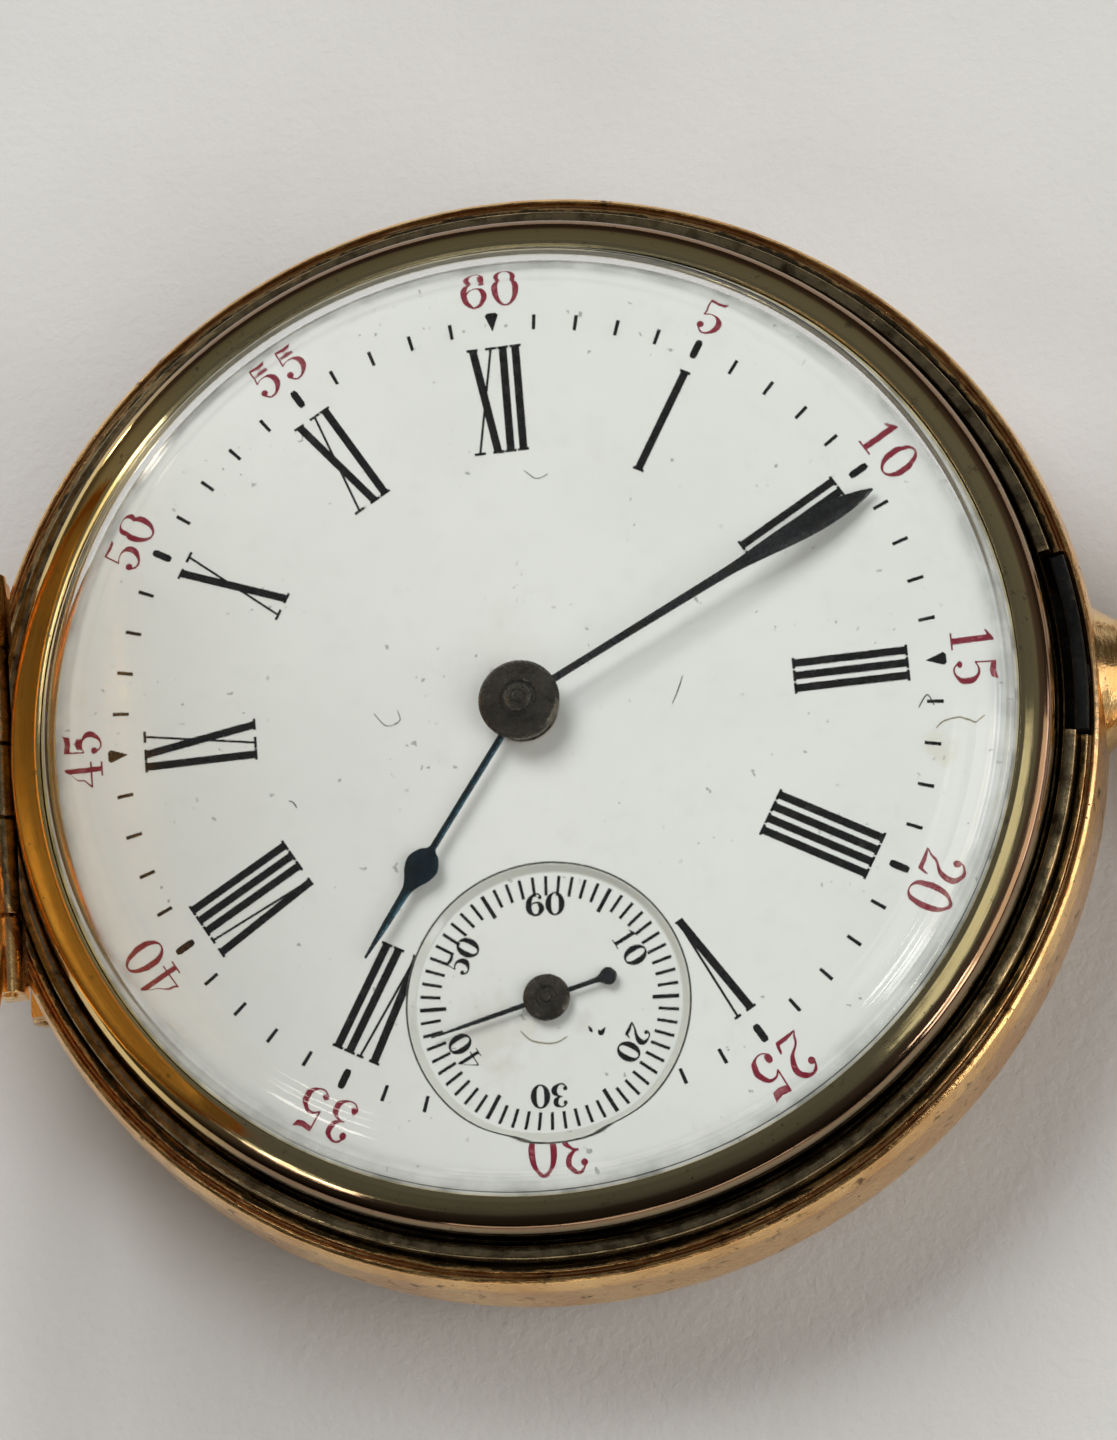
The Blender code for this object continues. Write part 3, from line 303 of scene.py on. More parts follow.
def show(obj, body, *nodes, slot=None):
    """Lets a piece ride on a body and stand for CAD nodes."""
    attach(obj, body)
    if nodes:
        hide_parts(*nodes)


def piece(name, shapes, material, body, *nodes, slot=None):
    show(as_object(name, together(shapes), material), body, *nodes, slot=slot)


# ---- materials ----
class Finish:
    """A node material while it is put together. Lengths are in metres, in the watch's own frame."""

    def __init__(self, name):
        self.material = bpy.data.materials.new(name)
        self.material.use_nodes = True
        self.tree = self.material.node_tree
        self.tree.nodes.clear()
        self.place = self.add("TexCoord").outputs["Object"]

    def add(self, kind, inputs=None, **settings):
        made = self.tree.nodes.new("ShaderNode" + kind)
        for key, value in settings.items():
            setattr(made, key, value)
        for socket, value in (inputs or {}).items():
            self.feed(made.inputs[socket], value)
        return made

    def feed(self, socket, value):
        if isinstance(value, bpy.types.NodeSocket):
            self.tree.links.new(value, socket)
        else:
            socket.default_value = value

    def maths(self, operation, a, b=0.0):
        return self.add("Math", {0: a, 1: b}, operation=operation).outputs[0]

    def times(self, a, b):
        return self.maths("MULTIPLY", a, b)

    def plus(self, a, b):
        return self.maths("ADD", a, b)

    def larger(self, a, b):
        return self.maths("MAXIMUM", a, b)

    def stretched(self, x, y, z, source=None):
        inputs = {0: self.place if source is None else source, 1: (x, y, z)}
        return self.add("VectorMath", inputs, operation="MULTIPLY").outputs[0]

    def radius_and_height(self):
        x, y, z = self.add("SeparateXYZ", {0: self.place}).outputs
        squares = [self.times(part, part) for part in (x, y)]
        return self.maths("SQRT", self.plus(*squares)), z

    def ring(self, r, start, end, soft=0.03, share=1.0):
        """The share inside a ring round the watch's axis, between two radii in mm."""
        rise = self.between(r, (start - soft) * MM, (start + soft) * MM)
        return self.times(rise, self.between(r, (end + soft) * MM, (end - soft) * MM, 0, share))

    def ringwise(self, around, across):
        """Coordinates that run slowly round the watch's axis and fast across it."""
        x, y, z = self.add("SeparateXYZ", {0: self.place}).outputs
        r = self.radius_and_height()[0]
        safe = self.larger(r, 1e-5)
        u = self.times(self.maths("DIVIDE", x, safe), around)
        v = self.times(self.maths("DIVIDE", y, safe), around)
        w = self.times(self.maths("SUBTRACT", r, z), across)
        return self.add("CombineXYZ", {0: u, 1: v, 2: w}).outputs[0]

    def noise(self, scale, detail=4.0, rough=0.55, vector=None):
        source = self.place if vector is None else vector
        inputs = {"Vector": source, "Scale": scale, "Detail": detail, "Roughness": rough}
        return self.add("TexNoise", inputs).outputs[0]

    def between(self, value, low, high, to_low=0.0, to_high=1.0):
        """value from low..high mapped smoothly to to_low..to_high."""
        inputs = {"Value": value, "From Min": low, "From Max": high, "To Min": to_low, "To Max": to_high}
        return self.add("MapRange", inputs, interpolation_type="SMOOTHSTEP").outputs[0]

    def mix(self, share, a, b):
        a, b = [(*c, 1.0) if isinstance(c, tuple) and len(c) == 3 else c for c in (a, b)]
        return self.add("Mix", {0: share, 6: a, 7: b}, data_type="RGBA").outputs[2]

    def bump(self, height, depth, under=None):
        inputs = {"Strength": 1.0, "Distance": depth, "Height": height}
        if under is not None:
            inputs["Normal"] = under
        return self.add("Bump", inputs).outputs[0]

    def edges(self):
        return self.add("NewGeometry").outputs["Pointiness"]

    def done(self, **inputs):
        shader = self.add("BsdfPrincipled", {key.replace("_", " "): value for key, value in inputs.items()})
        self.add("OutputMaterial", {0: shader.outputs[0]})
        return self.material


def worn_gold(name, bright, deep, grime, gloss=0.24, wear=1.0, inner=None):
    """Gold plate with tarnish in its hollows, rubbed edges, fine scratches and small dark specks.

    inner is the duller colour of the band's rim and snap ring, which lie inside its outer edge; a darker copy of
    it is painted shade, with grime, in the groove between the snap ring and the rim.
    """
    f = Finish(name)
    cloud = f.noise(420, 5, 0.6)
    patch = f.noise(1500, 6, 0.65)
    speck = f.noise(5200, 3, 0.6)
    edge = f.edges()
    colour = f.mix(f.between(cloud, 0.35, 0.68), bright, deep)
    if inner:
        r, z = f.radius_and_height()
        high = f.between(z, 5.4 * MM, 5.7 * MM)
        ragged = f.plus(r, f.between(f.noise(1400, 4, 0.65), 0.3, 0.7, -0.07 * MM, 0.07 * MM))
        dull = f.mix(f.between(patch, 0.4, 0.62), inner, tuple(c * 0.45 for c in inner))
        tarnish_and_painted_light_zones = (
            (f.ring(r, 14.0, 16.08), dull),
            # painted shade with grime: near black in the groove between the snap ring and the rim
            (f.ring(ragged, 16.08, 16.25), tuple(c * 0.35 for c in inner)),
            (f.ring(ragged, 16.34, 16.5, share=0.8), (0.34, 0.13, 0.045)),
        )
        for share, tone in tarnish_and_painted_light_zones:
            colour = f.mix(f.times(high, share), colour, tone)
    colour = f.mix(f.between(edge, 0.515, 0.56, 0, 0.7 * wear), colour, (0.93, 0.66, 0.34))
    hollow = f.between(edge, 0.488, 0.455, 0, 0.95)
    stained = f.larger(hollow, f.between(patch, 0.57, 0.7, 0, 0.8 * wear))
    stained = f.larger(stained, f.between(speck, 0.66, 0.72, 0, 0.85 * wear))
    colour = f.mix(stained, colour, grime)
    streaks = f.noise(1, 3, 0.7, f.ringwise(14, 9000))
    cross = f.noise(1, 2, 0.6, f.stretched(900, 14000, 3000))
    satin = f.between(streaks, 0.3, 0.7, gloss - 0.07, gloss + 0.08)
    rough = f.plus(satin, f.between(stained, 0, 1, 0, 0.22))
    height = f.plus(streaks, f.times(cross, 0.5))
    normal = f.bump(height, 0.0000045)
    normal = f.bump(f.noise(900, 3, 0.5), 0.00003, normal)
    normal = f.bump(f.noise(4000, 4, 0.6), 0.000012, normal)
    normal = f.bump(stained, -0.000008, normal)
    return f.done(Base_Color=colour, Metallic=1.0, Roughness=rough, Normal=normal)


def polished_gold(name, bright, deep, grime, gloss=0.1, tarnish_and_painted_light_zones=()):
    """Bright turned gold, dulled by thin tarnish. A zone is two radii in mm and a colour painted there; the
    bezel's zones are tarnish with painted highlights, painted reflections and painted shade.
    """
    f = Finish(name)
    cloud = f.noise(260, 4, 0.6)
    fine = f.noise(2600, 4, 0.6)
    speck = f.noise(6500, 2, 0.5)
    colour = f.mix(f.between(cloud, 0.3, 0.7), bright, deep)
    r = f.radius_and_height()[0]
    # painted light over tarnish: each zone's colour stands in for a highlight, a dark reflection or shade at that
    # radius
    for start, end, tone in tarnish_and_painted_light_zones:
        colour = f.mix(f.ring(r, start, end, 0.05, 0.9), colour, tone)
    if tarnish_and_painted_light_zones:  # painted reflection: the hinge side, facing the open lid, is painted bright orange gold as the lid's reflection
        x = f.add("SeparateXYZ", {0: f.place}).outputs[0]
        side = f.between(x, -8.5 * MM, -12.5 * MM)
        lid_reflection_paint = f.times(side, f.between(cloud, 0.3, 0.6, 0.55, 0.95))
        colour = f.mix(lid_reflection_paint, colour, (1.0, 0.74, 0.30))
    tarnish = f.larger(f.between(fine, 0.62, 0.75, 0, 0.5), f.between(speck, 0.72, 0.76, 0, 0.9))
    tarnish = f.larger(tarnish, f.between(f.edges(), 0.48, 0.45, 0, 0.8))
    colour = f.mix(tarnish, colour, grime)
    rings = f.noise(1, 3, 0.6, f.ringwise(5, 16000))
    satin = f.between(rings, 0.3, 0.7, gloss - 0.03, gloss + 0.06)
    rough = f.plus(satin, f.between(tarnish, 0, 1, 0, 0.2))
    normal = f.bump(rings, 0.0000015)
    normal = f.bump(f.noise(700, 2, 0.5), 0.00001, normal)
    return f.done(Base_Color=colour, Metallic=1.0, Roughness=rough, Normal=normal)


def enamel(name, white, stains=()):
    """Fired white enamel: a glassy skin with faint clouding, pinholes, grey marks and a rim darkened by painted
    shade in grimy streaks.
    """
    f = Finish(name)
    cloud = f.noise(180, 4, 0.6)
    colour = f.mix(f.between(cloud, 0.3, 0.75, 0, 0.55), white, tuple(c * 0.93 for c in white))
    dust = f.between(f.noise(3600, 2, 0.5), 0.70, 0.745, 0, 0.6)
    patches = f.between(f.noise(420, 2, 0.5), 0.44, 0.6)
    colour = f.mix(f.times(dust, patches), colour, (0.16, 0.16, 0.15))
    haze = f.between(f.noise(1500, 5, 0.7), 0.5, 0.72, 0, 0.10)
    colour = f.mix(haze, colour, (0.45, 0.45, 0.42))
    ragged_edge = f.between(f.noise(1400, 4, 0.6), 0.0, 1.0, -0.8, 0.8)
    for (x, y), reach, share, tint in stains:
        middle = (x * MM, y * MM, DIAL_TOP * MM)
        away = f.add("VectorMath", {0: f.place, 1: middle}, operation="DISTANCE").outputs["Value"]
        ragged = f.plus(away, f.times(ragged_edge, reach * MM))
        colour = f.mix(f.between(ragged, reach * MM, reach * 0.2 * MM, 0, share), colour, tint)
    r = f.radius_and_height()[0]
    # painted shade with grime: a grey band round the dial's edge, under the crystal's thick rim and the bezel,
    # broken into streaks
    grime_and_shade_streaks = f.between(f.noise(1, 4, 0.6, f.ringwise(9, 1500)), 0.35, 0.66, 0.35, 0.95)
    rim = f.times(f.between(r, 13.4 * MM, 14.3 * MM), grime_and_shade_streaks)
    colour = f.mix(rim, colour, (0.22, 0.23, 0.225))
    rough = f.between(f.noise(900, 3, 0.5), 0.3, 0.7, 0.09, 0.2)
    normal = f.bump(f.noise(350, 2, 0.5), 0.000012)
    normal = f.bump(f.noise(9000, 2, 0.5), 0.0000008, normal)
    coat = {"Coat_Weight": 0.6, "Coat_Roughness": 0.05}
    return f.done(Base_Color=colour, Roughness=rough, Normal=normal, Specular_IOR_Level=0.5, **coat)


def print_ink(name, ink, worn, amount):
    """Fired print, a little thin and broken in places."""
    f = Finish(name)
    fade = f.between(f.noise(2600, 4, 0.65), 0.52, 0.72, 0, amount)
    chips = f.between(f.noise(9000, 2, 0.5), 0.66, 0.7, 0, amount)
    colour = f.mix(f.larger(fade, chips), ink, worn)
    rough = f.between(f.noise(4000, 2, 0.5), 0.3, 0.7, 0.22, 0.42)
    normal = f.bump(f.noise(12000, 2, 0.5), 0.000002)
    return f.done(Base_Color=colour, Roughness=rough, Normal=normal, Specular_IOR_Level=0.3)


def blued(name, bright, dull, rust, gloss=0.22, pits=0.000004):
    """Heat-blued steel with brown patina."""
    f = Finish(name)
    tone = f.noise(700, 4, 0.6)
    colour = f.mix(f.between(tone, 0.35, 0.65), bright, dull)
    patina = f.between(f.noise(2200, 5, 0.65), 0.52, 0.68, 0, 0.85)
    colour = f.mix(patina, colour, rust)
    brush = f.noise(1, 3, 0.6, f.stretched(7000, 7000, 2000))
    rough = f.plus(f.between(brush, 0.3, 0.7, gloss, gloss + 0.12), f.between(patina, 0, 1, 0, 0.2))
    normal = f.bump(brush, 0.000003)
    normal = f.bump(f.noise(3000, 4, 0.65), pits, normal)
    return f.done(Base_Color=colour, Metallic=0.9, Roughness=rough, Normal=normal)


def machined(name, bright, dull, gloss=0.2, grain=6000):
    """Movement metal: a fine grain, faint clouding and a trace of old oil."""
    f = Finish(name)
    cloud = f.between(f.noise(500, 4, 0.6), 0.35, 0.7)
    colour = f.mix(cloud, bright, dull)
    oil = f.between(f.noise(1300, 3, 0.5), 0.66, 0.75, 0, 0.5)
    colour = f.mix(oil, colour, tuple(c * 0.45 for c in dull))
    grains = f.noise(grain, 3, 0.6)
    rough = f.between(grains, 0.3, 0.7, gloss, gloss + 0.14)
    normal = f.bump(grains, 0.000004)
    return f.done(Base_Color=colour, Metallic=1.0, Roughness=rough, Normal=normal)


def damascened(name, bright, dull):
    """Nickel plates with straight damascened bands."""
    f = Finish(name)
    turn = f.add("VectorRotate", {"Vector": f.place, "Angle": 0.6}, rotation_type="Z_AXIS").outputs[0]
    wave = {"Vector": turn, "Scale": 170.0, "Distortion": 0.0}
    bands = f.add("TexWave", wave, wave_type="BANDS").outputs["Fac"]
    fine = f.noise(1, 2, 0.6, f.stretched(2500, 26000, 2500, turn))
    colour = f.mix(f.between(bands, 0.0, 1.0, 0, 0.6), bright, dull)
    colour = f.mix(f.between(f.noise(900, 4, 0.6), 0.6, 0.75, 0, 0.35), colour, tuple(c * 0.5 for c in dull))
    rough = f.plus(f.between(bands, 0, 1, 0.18, 0.32), f.between(fine, 0.3, 0.7, 0, 0.08))
    normal = f.bump(bands, 0.000012)
    normal = f.bump(fine, 0.0000025, normal)
    return f.done(Base_Color=colour, Metallic=1.0, Roughness=rough, Normal=normal)


def clear_glass(name):
    """The crystal. Lamps and bounced light go straight through it, so that the dial under it is lit."""
    f = Finish(name)
    scratch = f.noise(1, 3, 0.7, f.stretched(3000, 42000, 3000))
    marks = f.between(scratch, 0.66, 0.75, 0.0, 0.12)
    normal = f.bump(scratch, 0.0000006)
    glass = f.add(
        "BsdfPrincipled",
        {
            "Base Color": (0.985, 0.995, 0.985, 1.0),
            "Roughness": marks,
            "IOR": 1.5,
            "Transmission Weight": 1.0,
            "Normal": normal,
        },
    ).outputs[0]
    path = f.add("LightPath")
    straight = f.larger(path.outputs["Is Shadow Ray"], path.outputs["Is Diffuse Ray"])
    open_air = f.add("BsdfTransparent", {0: (0.96, 0.97, 0.96, 1.0)}).outputs[0]
    shown = f.add("MixShader", {0: straight, 1: glass, 2: open_air}).outputs[0]
    f.add("OutputMaterial", {0: shown})
    return f.material


def felt_floor(name):
    """A plain pale floor with a faint soft mottling."""
    f = Finish(name)
    cloud = f.noise(60, 4, 0.6)
    colour = f.mix(f.between(cloud, 0.3, 0.7), (0.62, 0.615, 0.60), (0.58, 0.575, 0.56))
    normal = f.bump(f.noise(2500, 4, 0.6), 0.00006)
    return f.done(Base_Color=colour, Roughness=0.95, Normal=normal, Specular_IOR_Level=0.1)


WHITE = (0.80, 0.815, 0.80)
STAINS = (
    ((-1.6, -9.6), 1.5, 0.22, (0.46, 0.36, 0.26)),
    ((0.9, -9.4), 0.5, 0.25, (0.40, 0.36, 0.30)),
    ((11.9, -2.6), 0.7, 0.30, (0.62, 0.55, 0.40)),
    ((-0.4, 1.9), 1.6, 0.10, (0.55, 0.47, 0.36)),
)
# the band's gold; its darkest rim zone is painted shade in the groove between snap ring and rim
ROSE = worn_gold(
    "worn_rose_gold_with_painted_groove_shade", (0.96, 0.62, 0.27), (0.76, 0.42, 0.16), (0.05, 0.028, 0.015), inner=(0.42, 0.33, 0.19)
)
INSIDE_GOLD = polished_gold("polished_gold", (0.95, 0.57, 0.19), (0.88, 0.45, 0.11), (0.20, 0.09, 0.03), 0.2)
# painted light over tarnish: a painted highlight on the inner lip, painted dark reflections of the room on the
# slope, and painted shade at the bezel's foot
BEZEL_TARNISH_AND_PAINTED_LIGHT = (
    (14.2, 14.47, (0.92, 0.80, 0.48)),
    (14.47, 14.98, (0.56, 0.47, 0.25)),
    (14.98, 15.37, (0.27, 0.165, 0.105)),
    (15.37, 15.6, (0.10, 0.075, 0.05)),
)
BEZEL_GOLD = polished_gold(
    "bezel_gold_tarnish_and_painted_light", (0.66, 0.54, 0.30), (0.46, 0.34, 0.19), (0.05, 0.035, 0.03), 0.08, BEZEL_TARNISH_AND_PAINTED_LIGHT
)
CROWN_GOLD = worn_gold(
    "worn_yellow_gold", (0.86, 0.60, 0.28), (0.68, 0.42, 0.17), (0.09, 0.05, 0.025), 0.2, 0.8
)
GLASS = clear_glass("crystal_glass")
DIAL_WHITE = enamel("dial_enamel", WHITE, STAINS)
# painted shade: a darker copy of the dial's white enamel for the sunk seconds dial's wall
SHADED_STEP_ENAMEL = enamel("dial_step_enamel_painted_shade", (0.70, 0.71, 0.67))
BLACK_INK = print_ink("black_print", (0.004, 0.004, 0.004), (0.05, 0.05, 0.05), 0.35)
RED_INK = print_ink("red_print", (0.20, 0.018, 0.035), (0.42, 0.16, 0.18), 0.6)
THREAD = print_ink("brown_thread", (0.26, 0.23, 0.16), (0.42, 0.40, 0.33), 0.8)
GREY_INK = print_ink("grey_line", (0.05, 0.052, 0.045), (0.16, 0.15, 0.12), 0.7)
BLUE_STEEL = blued("blued_steel_hands", (0.07, 0.078, 0.085), (0.035, 0.04, 0.042), (0.06, 0.055, 0.045))
BLUE_PEAR = blued(
    "blued_steel_hour_hand", (0.024, 0.075, 0.11), (0.014, 0.032, 0.045), (0.03, 0.03, 0.03), 0.16
)
HUB_STEEL = blued("patinated_hub_steel", (0.14, 0.125, 0.10), (0.075, 0.064, 0.05), (0.04, 0.03, 0.02), 0.2)
CATCH_STEEL = blued(
    "pitted_catch_steel", (0.035, 0.036, 0.037), (0.012, 0.012, 0.012), (0.09, 0.075, 0.055), 0.4, 0.00005
)
SPRING_STEEL = blued(
    "case_spring_steel", (0.045, 0.048, 0.05), (0.025, 0.026, 0.027), (0.06, 0.045, 0.03), 0.3
)
STEEL = machined("movement_steel", (0.62, 0.62, 0.60), (0.42, 0.42, 0.42), 0.16)
BRASS = machined("gilt_brass", (0.86, 0.62, 0.26), (0.66, 0.44, 0.16), 0.2)
NICKEL = damascened("damascened_nickel", (0.74, 0.72, 0.66), (0.50, 0.48, 0.44))
FLOOR = felt_floor("pale_floor")


# ---- case ----
def knuckle(y_low, y_high, hinge, radius=0.45):
    at = (hinge.x, 0, hinge.z)
    return tube(radius, 0.22, y_low, y_high, at, ALONG_Y, 0.06, 40)


def webbed(ranges, hinge, web_low, web_high):
    """Hinge knuckles, each with the web that joins it to the wall beside it."""
    shapes = []
    for y_low, y_high in ranges:
        shapes.append(knuckle(y_low, y_high, hinge))
        shapes.append(box((web_low[0], y_low + 0.03, web_low[1]), (web_high[0], y_high - 0.03, web_high[1])))
    return shapes


HINGE_HALF = 6.65
CATCH_ARC = (-7.8, 11.2)
CATCH_SLOT_ARC = (-8.1, 11.9)
FRONT_CASE_KNUCKLES = ((-6.5, -4.2), (-1.1, 1.1), (4.2, 6.5))
FRONT_LID_KNUCKLES = ((-4.1, -1.2), (1.2, 4.1))
BACK_CASE_KNUCKLES = ((-6.3, -4.5), (4.5, 6.3))
BACK_LID_KNUCKLES = ((-4.4, -1.6), (1.6, 4.4))
DUST_KNUCKLE = ((-1.5, 1.5),)


def case_middle():
    profile = [
        (16.14, 6.08, 0.03), (16.3, 6.13, 0.06), (16.36, 6.02, 0.03), (16.43, 6.02, 0.03),
        (16.5, 6.12, 0.05), (16.64, 6.0, 0.1), (16.78, 5.4, 1.0), (16.86, 3.4, 1.5),
        (16.72, 2.5, 0.5), (16.45, 2.0, 0.06), (14.3, 2.0, 0.1), (14.3, 4.65, 0.05),
        (15.6, 4.65, 0.05), (15.6, 5.7, 0.05), (14.95, 5.7, 0.05), (14.95, 6.2, 0.05),
        (15.55, 6.2, 0.12), (15.62, 6.6, 0.1), (15.8, 6.63, 0.2), (16.0, 6.6, 0.1),
        (16.08, 5.9, 0.06),
    ]
    band = as_object("band", turned(profile), ROSE)
    pockets = [
        box((-18, -HINGE_HALF, 5.6), (-15.5, HINGE_HALF, 7)),
        box((-18, -HINGE_HALF, 1.5), (-15.5, HINGE_HALF, 2.35)),
        sector_block(15.66, 16.42, *CATCH_SLOT_ARC, 4.6, 7),
        sector_block(15.5, 16.0, -12, 12, 4.65, 5.68),
        rod(1.0, 13, 18, (0, 0, STEM_Z), ALONG_X),
    ]
    carved(band, pockets)
    shapes = webbed(FRONT_CASE_KNUCKLES, FRONT_HINGE, (-16.35, 5.4), (-15.65, 5.98))
    shapes += webbed(BACK_CASE_KNUCKLES, BACK_HINGE, (-16.3, 2.0), (-15.4, 2.5))
    show(band, "case", "case_middle", slot="rose_gold")
    piece("case_knuckles", shapes, ROSE, "case", slot="rose_gold")


def sector_block(inner, outer, start, end, low, high, count=25):
    outline = arc(outer, start, end, count) + arc(inner, end, start, count)
    return lofted([[(x, y, z) for x, y in outline] for z in (low, high)])


def rounded_block(inner, outer, start, end, low, high, bevel=0.08, count=25):
    """A sector block with bevelled top edges."""
    blocks = []
    for inset, z in ((0, low), (0, high - bevel), (bevel * 0.4, high - bevel * 0.35), (bevel, high)):
        turn = degrees(inset / outer)
        ring = arc(outer - inset, start + turn, end - turn, count)
        ring += arc(inner + inset, end - turn, start + turn, count)
        blocks.append([(x, y, z) for x, y in ring])
    return lofted(blocks)


def hinge_pins():
    for node, hinge, half in (("front_hinge_pin", FRONT_HINGE, 6.6), ("back_hinge_pin", BACK_HINGE, 6.4)):
        shape = rod(0.2, -half, half, (hinge.x, 0, hinge.z), ALONG_Y, 0.08, 24)
        piece(node + "_turned", [shape], ROSE, "case", node, slot="rose_gold")


def bezel():
    slope = [(14.55, 7.9), (14.95, 7.78), (15.22, 7.63), (15.37, 7.44)]
    slope += [(15.44, 7.2), (15.46, 6.8), (15.46, 6.3)]
    profile = [(14.34, 7.6, 0.02), (14.46, 7.89, 0.03), *smooth(slope, 5)]
    profile += [(15.44, 6.22), (14.98, 6.22), (14.9, 7.5)]
    piece("bezel_ring", [turned(profile)], BEZEL_GOLD, "case", "bezel", slot="yellow_gold")


def crystal():
    outer = [(0, 9.7), (5, 9.66), (9, 9.53), (12, 9.27)]
    outer += [(13.3, 8.98), (13.95, 8.6), (14.25, 8.1), (14.3, 7.66)]
    inner = [
        (14.12, 7.66), (13.97, 7.8), (13.84, 8.04), (13.64, 8.28), (13.36, 8.48), (13.02, 8.64),
        (12.2, 8.86), (9, 9.12), (5, 9.28), (0, 9.33),
    ]
    points = smooth(outer) + smooth(inner)
    piece("domed_crystal", [turned(points)], GLASS, "case", "crystal", slot="glass")


def front_cover():
    outer = [(0, 10.35), (5, 10.3), (9.5, 10.12), (12.8, 9.7), (15.0, 8.9), (16.2, 7.8)]
    rim = [(16.5, 7.25, 0.2), (16.6, 6.95, 0.1), (16.6, 6.2, 0.08), (16.2, 6.2, 0.08), (16.15, 6.95, 0.2)]
    inner = [(15.8, 7.65), (14.75, 8.6), (12.6, 9.32), (9.4, 9.73), (5, 9.9), (0, 9.95)]
    points = smooth(outer) + rim + smooth(inner)
    lid = as_object("front_lid_shell", turned(points), INSIDE_GOLD)
    cuts = [
        box((-18, -HINGE_HALF, 6), (-15.4, HINGE_HALF, 6.95)),
        box((-18, -HINGE_HALF, 6), (-16.4, HINGE_HALF, 7.6)),
        sector_block(15.9, 16.4, -12, 12, 6.0, 6.6),
    ]
    carved(lid, cuts)
    hinged = webbed(FRONT_LID_KNUCKLES, FRONT_HINGE, (-16.3, 6.4), (-15.75, 7.3))
    knuckles = as_object("front_lid_knuckles", together(hinged), ROSE)
    for obj, nodes in ((lid, ("front_cover",)), (knuckles, ())):
        swing(obj, FRONT_HINGE, -LID_OPEN)
        show(obj, "front_lid", *nodes, slot="rose_gold")


def swing(obj, hinge, degrees_open):
    """Turns a mesh about a hinge line along Y."""
    at = hinge * MM
    turn = Matrix.Translation(at) @ Matrix.Rotation(radians(degrees_open), 4, "Y") @ Matrix.Translation(-at)
    obj.data.transform(turn)


BACK_HINGE_GAP = box((-18, -HINGE_HALF, 1.2), (-15.3, HINGE_HALF, 3))


def back_cover():
    outer = [(16.05, 1.95, 0.1), (16.45, 1.95, 0.15), (16.2, 1.4, 0.6), (15.5, 0.9, 1.0)]
    outer += [(14.0, 0.42, 3), (12.0, 0.12, 4), (9.5, 0, 4), (0, 0)]
    inner = [(0, 0.4), (9.4, 0.4, 4), (11.9, 0.52, 4), (13.8, 0.82, 3), (15.2, 1.25, 1.0), (15.95, 1.7, 0.3)]
    lid = as_object("back_lid_shell", turned(inner + outer), ROSE)
    carved(lid, [BACK_HINGE_GAP, box((-18, -HINGE_HALF, 0.5), (-15.9, HINGE_HALF, 3))])
    show(lid, "back_lid", "back_cover", slot="rose_gold")
    knuckles = webbed(BACK_LID_KNUCKLES, BACK_HINGE, (-15.9, 0.95), (-15.4, 1.6))
    piece("back_lid_knuckles", knuckles, ROSE, "back_lid", slot="rose_gold")


def dust_cover():
    outer = [(15.7, 1.95, 0.06), (15.0, 1.5, 0.8), (13.7, 1.08, 2)]
    outer += [(11.8, 0.77, 3), (9.4, 0.65, 3), (0, 0.65)]
    inner = [(0, 0.9), (9.3, 0.9, 3), (11.7, 1.0, 3), (13.5, 1.3, 2), (14.8, 1.7, 0.8), (15.3, 1.95, 0.06)]
    dust = as_object("dust_lid_shell", turned(inner + outer), INSIDE_GOLD)
    carved(dust, [BACK_HINGE_GAP])
    show(dust, "inner_lid", "dust_cover", slot="yellow_gold")
    knuckle_shapes = webbed(DUST_KNUCKLE, BACK_HINGE, (-15.85, 1.55), (-14.9, 1.85))
    piece("dust_lid_knuckle", knuckle_shapes, INSIDE_GOLD, "inner_lid", slot="yellow_gold")


def pendant():
    profile = [
        (1.5, 20.32, 0.05), (1.62, 20.3, 0.08), (1.78, 20.1, 0.1), (1.95, 19.6, 0.4),
        (2.05, 19.1, 0.5), (1.95, 18.6, 0.5), (1.72, 17.95, 0.4), (1.74, 17.35, 0.3),
        (2.05, 16.9, 0.2), (2.3, 16.6, 0.05), (0.9, 16.7, 0.02), (0.9, 20.3, 0.05),
    ]
    neck = as_object("pendant_neck", turned(profile, 96, (0, 0, STEM_Z), ALONG_X), CROWN_GOLD)
    carved(neck, [rod(0.4, -3, 3, (BOW_X, 0, STEM_Z), ALONG_Y)])
    show(neck, "case", "pendant_tube", slot="rose_gold")
    sleeve = tube(0.85, 0.45, 15.7, 18.5, (0, 0, STEM_Z), ALONG_X)
    piece("stem_sleeve_turned", [sleeve], STEEL, "case", "stem_sleeve", slot="bright_steel")


def bow():
    side = [
        (BOW_X, 1.35, 0.36), (BOW_X, 2.0, 0.36), (BOW_X + 0.05, 2.6, 0.46), (19.3, 3.5, 0.62),
        (20.2, 4.6, 0.72), (21.9, 5.4, 0.72), (23.9, 5.4, 0.72), (25.8, 4.4, 0.72),
        (27.1, 2.5, 0.72), (27.6, 0, 0.72),
    ]
    route = curve_through(side + [(x, -y, r) for x, y, r in side[-2::-1]], 8)
    wire = swept([(x, y, STEM_Z) for x, y, r in route], [r for x, y, r in route], 28)
    piece("bow_loop_wire", [wire], CROWN_GOLD, "bow_loop", "bow", slot="rose_gold")


